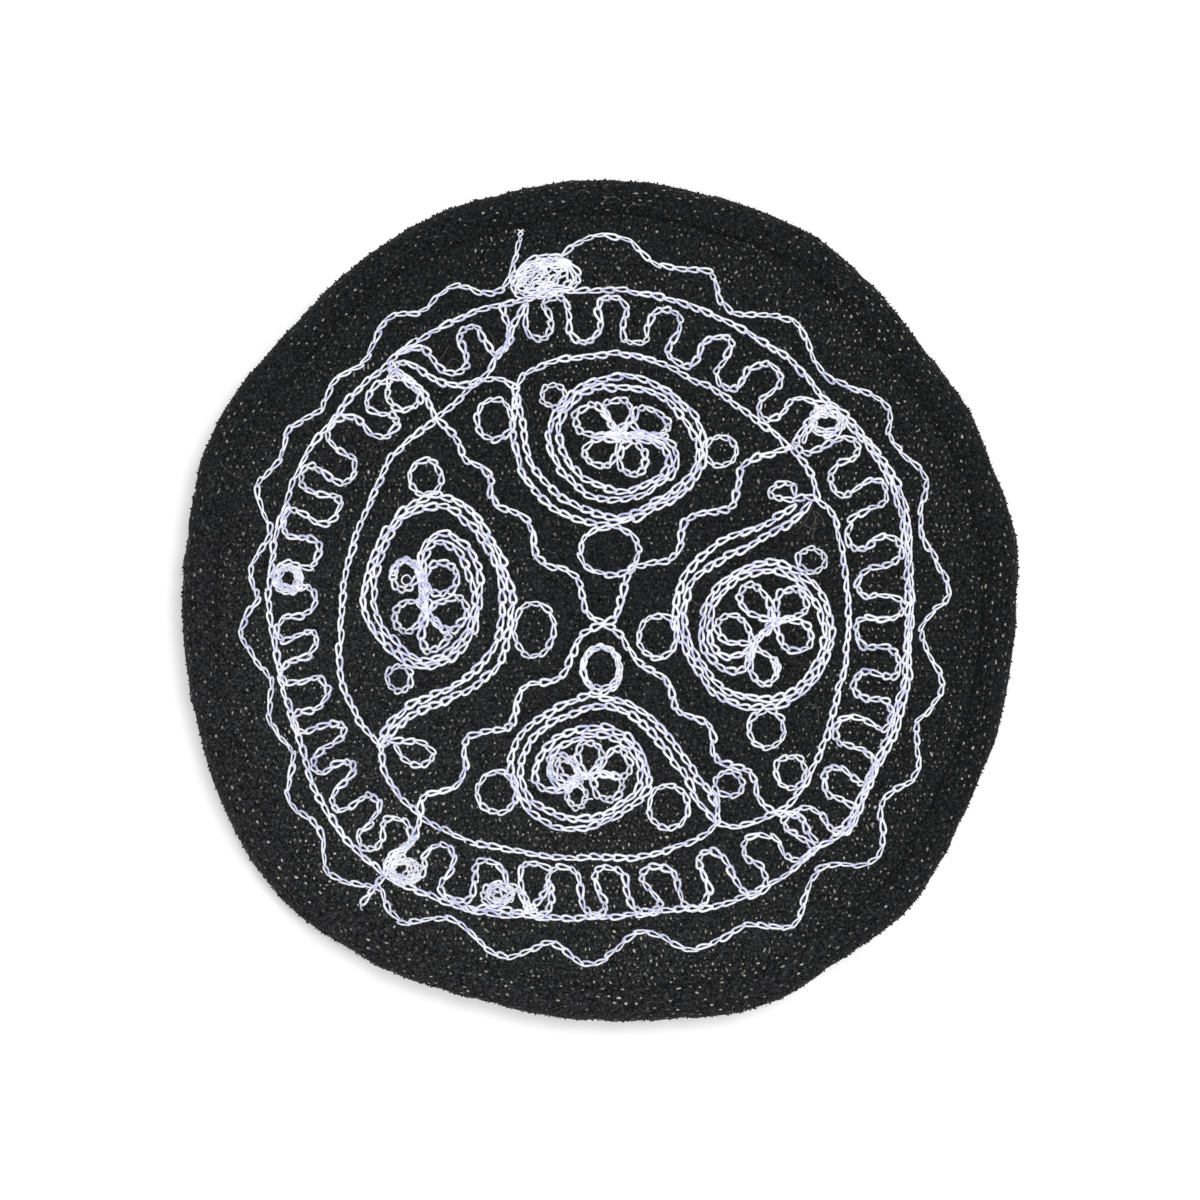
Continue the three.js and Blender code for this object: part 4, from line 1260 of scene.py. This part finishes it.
def chain_stitch_tree():
    """Chain stitches along every line: a loop between each two points, turned and sized to join them."""
    tree, given, keys = geometry_tree("chain_stitches", {
        "Stitch Length": "Float", "Loops": "Collection", "Thread": "Material", "Narrowest": "Float",
        "Widest": "Float", "Seed": "Int",
    })
    seed = given["Seed"]
    holes = Wire.add(tree, "GeometryNodeMeshToCurve", {}, {"Mesh": given["Geometry"]})
    here = Wire.add(tree, "GeometryNodeInputPosition")
    index = Wire.add(tree, "GeometryNodeInputIndex")
    vectors = {"data_type": "FLOAT_VECTOR", "domain": "POINT"}
    there = Wire.add(tree, "GeometryNodeFieldAtIndex", vectors, {"Index": index + 1, "Value": here})
    chord = vector_math(tree, "SUBTRACT", there, here)
    up = Wire.add(tree, "GeometryNodeInputNamedAttribute", {"data_type": "FLOAT_VECTOR"}, {"Name": "up"})
    axes = {"primary_axis": "X", "secondary_axis": "Z"}
    ways = {"Primary Axis": chord, "Secondary Axis": up}
    facing_up = Wire.add(tree, "FunctionNodeAxesToRotation", axes, ways)
    lean = random_value(tree, tuple(-a for a in STITCH_LEAN), STITCH_LEAN, seed, "FLOAT_VECTOR")
    reach = vector_math(tree, "LENGTH", chord, out="Value") / given["Stitch Length"]
    wide = random_value(tree, given["Narrowest"], given["Widest"], seed + 7)
    last = Wire.add(tree, "GeometryNodeCurveEndpointSelection", {}, {"Start Size": 0, "End Size": 1})
    place_shapes(tree, given["Loops"], len(LOOP_SIDES), seed + 5, seed + 3, given["Thread"], {
        "Points": holes, "Rotation": leant(tree, facing_up, lean),
        "Selection": Wire.add(tree, "FunctionNodeBooleanMath", {"operation": "NOT"}, {0: last}),
        "Scale": Wire.add(tree, "ShaderNodeCombineXYZ", {}, {"X": reach, "Y": wide, "Z": 1.0}),
    })
    return tree, keys


def wool_fuzz_tree():
    """Short fibres that stand out of a surface's outer face, each leaning and turned its own way."""
    tree, given, keys = geometry_tree("wool_fuzz", {
        "Surface": "Object", "Fibres": "Collection", "Wool": "Material", "Least Lean": "Float",
        "Most Lean": "Float", "Fibres To The Square Metre": "Float", "Seed": "Int",
    })
    seed = given["Seed"]
    cloth = Wire.add(tree, "GeometryNodeObjectInfo", {}, {"Object": given["Surface"]}, "Geometry")
    place = Wire.add(tree, "GeometryNodeInputPosition")
    normal = Wire.add(tree, "GeometryNodeInputNormal")
    outward = vector_math(tree, "NORMALIZE", vector_math(tree, "MULTIPLY", place, (1, 1, 0)))
    facing_out = vector_math(tree, "DOT_PRODUCT", normal, outward, out="Value")
    facing_out = facing_out + Wire.add(tree, "ShaderNodeSeparateXYZ", {}, {0: normal}, "Z")
    outer = Wire.add(tree, "FunctionNodeCompare", {"operation": "GREATER_THAN"}, {0: facing_out, 1: 0.1})
    roots = Wire.add(tree, "GeometryNodeDistributePointsOnFaces", {}, {
        "Mesh": cloth, "Selection": outer, "Density": given["Fibres To The Square Metre"], "Seed": seed,
    })
    share = random_value(tree, 0.0, 1.0, seed + 1)
    lean = given["Least Lean"] + (given["Most Lean"] - given["Least Lean"]) * share
    spin = random_value(tree, 0.0, 2 * math.pi, seed + 2)
    euler = Wire.add(tree, "ShaderNodeCombineXYZ", {}, {"X": lean, "Z": spin})
    place_shapes(tree, given["Fibres"], len(FIBRES), seed + 4, seed + 5, given["Wool"], {
        "Points": roots, "Rotation": leant(tree, roots.other("Rotation"), euler),
        "Scale": random_value(tree, 0.4, 1.3, seed + 3),
    })
    return tree, keys


def grown(piece, tree, keys, values):
    """A piece after its geometry tree has run: a plain mesh, with no modifier left."""
    modifier = piece.modifiers.new("grow", "NODES")
    modifier.node_group = tree
    for name, value in values.items():
        modifier[keys[name]] = value
    graph = bpy.context.evaluated_depsgraph_get()
    run = piece.evaluated_get(graph)
    mesh = bpy.data.meshes.new_from_object(run, preserve_all_data_layers=True, depsgraph=graph)
    piece.modifiers.clear()
    piece.data = mesh
    mesh.name = piece.name
    return piece


def cap_under(x, y):
    """The cap's highest spot at a place, in metres, and the way out of it."""
    hits = [cloth.ray_cast(Vector((x, y, 100.0)) * MM, Vector((0, 0, -1)))[:2] for cloth in cloths]
    return max((hit for hit in hits if hit[0] is not None), key=lambda hit: hit[0].z)


def strands(name, rows, low, high, radius, sides):
    """Loose strands along rows read in the photograph: low over the cap at their ends, high in the middle."""
    paths = []
    for row in rows:
        spots = np.array([cap_under(x, y)[0] for x, y in spline(from_photo(row), 1.0)]) / MM
        spots[:, 2] += low + (high - low) * np.sin(np.linspace(0, math.pi, len(spots)))
        paths.append(spots)
    return thread_object(name, paths, radius, sides)


def row_lines(name, rows):
    """The lines that rows are sewn along, laid on the crown, with the way up at each point."""
    points, ups, edges = [], [], []
    for seed, row in enumerate(rows):
        start = len(points)
        for x, y in stitch_holes(row, seed):
            spot, normal = cap_under(x, y)
            points.append(spot)
            ups.append(normal)
        edges += [(i, i + 1) for i in range(start, len(points) - 1)]
    mesh = bpy.data.meshes.new(name)
    mesh.from_pydata(points, edges, [])
    attribute = mesh.attributes.new("up", "FLOAT_VECTOR", "POINT")
    attribute.data.foreach_set("vector", np.array(ups, dtype=np.float32).ravel())
    return in_scene(name, mesh)


# The flecks of the two cloths: steps across and along in metres, half width and length, wander and strength.
ROUND_STEPS = 228
ROUND_STEP = 2 * math.pi * CROWN_REACH * MM / ROUND_STEPS
TOP_FLECKS = (0.00182, 0.00213, 0.00034, 0.00046, 1.7, 1.4)
SIDE_FLECKS = (ROUND_STEP, 0.0023, 0.00062, 0.00038, 0.7, 1.55)

rows_on_crown = {name: [from_photo(row) for row in rows] for name, (rows, _, _) in STITCHES.items()}
sewn_places = np.concatenate([spline(row, 1.0) for rows in rows_on_crown.values() for row in rows])

top = crown_top_cloth(sewn_places)
side = crown_side_cloth()
brim = rolled_brim_cloth()
wool_top = black_wool("black_wool_top", *TOP_FLECKS)
wool_side = black_wool("black_wool_side", *SIDE_FLECKS)
cad_pieces = ((top, "crown_top", wool_top), (side, "crown_side", wool_side), (brim, "rolled_brim", wool_side))
for piece, node, finish in cad_pieces:
    piece.data.materials.append(finish)
    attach(piece, "root")
    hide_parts(node)

thread = white_thread("white_thread")
loops = chain_loops()
stitch_tree, stitch_keys = chain_stitch_tree()
graph = bpy.context.evaluated_depsgraph_get()
cloths = [BVHTree.FromObject(cloth, graph) for cloth in (top, side)]
for seed, (name, rows) in enumerate(rows_on_crown.items()):
    piece = row_lines("embroidery_" + name, rows)
    grown(piece, stitch_tree, stitch_keys, {
        "Stitch Length": STITCH_LENGTH * MM, "Loops": loops, "Thread": thread, "Narrowest": STITCHES[name][1],
        "Widest": STITCHES[name][2], "Seed": 100 * seed,
    })
    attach(piece, "root")
drop_shapes(loops)
loose = strands("loose_threads", LOOSE_THREADS, LOOSE_LIFT, LOOSE_LIFT, THREAD_RADIUS * LOOSE_THINNER,
                THREAD_SIDES)
loose.data.materials.append(thread)
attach(loose, "root")

fibre_tree, fibre_keys = wool_fuzz_tree()
fibres = kept_shapes("wool_fibres", [
    thread_object(f"wool_fibre_{i}", [path], FIBRE_TAPER * radius, HAIR_SIDES)
    for i, (radius, path) in enumerate(FIBRES)
])
hair = wool_hair("wool_hair")
for i, (name, cloth, density, least, most) in enumerate(FUZZ):
    piece = in_scene(name, bpy.data.meshes.new(name))
    grown(piece, fibre_tree, fibre_keys, {
        "Surface": {"side": side, "top": top}[cloth], "Fibres": fibres, "Wool": hair,
        "Fibres To The Square Metre": density, "Least Lean": least, "Most Lean": most, "Seed": 1000 + 50 * i,
    })
    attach(piece, "root")
drop_shapes(fibres)
stray = strands("stray_hairs", STRAY_HAIRS, *HAIR_LIFT, HAIR_RADIUS, HAIR_SIDES)
stray.data.materials.append(wool_hair("stray_hair", pale=True))
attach(stray, "root")

# Plain studio: a pale floor, a white sky and two soft lights from high on the right and high at the back.
FLOOR_REACH = 8.0
FLOOR_SHADE = (0.81, 0.81, 0.81, 1)
SKY_STRENGTH = 0.5
# Each light's energy, as a share of pi, its angle in degrees and the way to it.
LIGHTS = {
    "right_light": (0.50, 6.0, (0.171, 0.026, 1)),
    "back_light": (0.42, 5.1, (0.046, 0.172, 1)),
}

corners = np.array([(-1, -1, 0), (1, -1, 0), (1, 1, 0), (-1, 1, 0)]) * FLOOR_REACH / MM
floor = mesh_object("floor", corners, [(0, 1, 2, 3)])
floor.data.materials.append(finish_material(new_material("pale_floor")[0], {
    "Base Color": FLOOR_SHADE, "Roughness": 0.9, "Specular IOR Level": 0.0,
}))

world = bpy.data.worlds.new("white_sky")
world.use_nodes = True
sky = world.node_tree.nodes["Background"].inputs
sky["Color"].default_value = (1, 1, 1, 1)
sky["Strength"].default_value = SKY_STRENGTH
bpy.context.scene.world = world

for name, (share, angle, direction) in LIGHTS.items():
    light = bpy.data.lights.new(name, "SUN")
    light.energy = share * math.pi
    light.angle = math.radians(angle)
    in_scene(name, light).rotation_euler = Vector(direction).to_track_quat("Z", "Y").to_euler()

camera = bpy.data.cameras.new("camera")
camera.lens = LENS
camera.sensor_width = SENSOR
camera.clip_end = 100
viewer = in_scene("camera", camera)
viewer.location = ((PHOTO_SIZE / 2 - AXIS_PIXEL[0]) * PIXEL * MM, 0, (RIM_HEIGHT + CAMERA_RISE) * MM)
bpy.context.scene.camera = viewer
bpy.context.scene.view_settings.view_transform = "Standard"
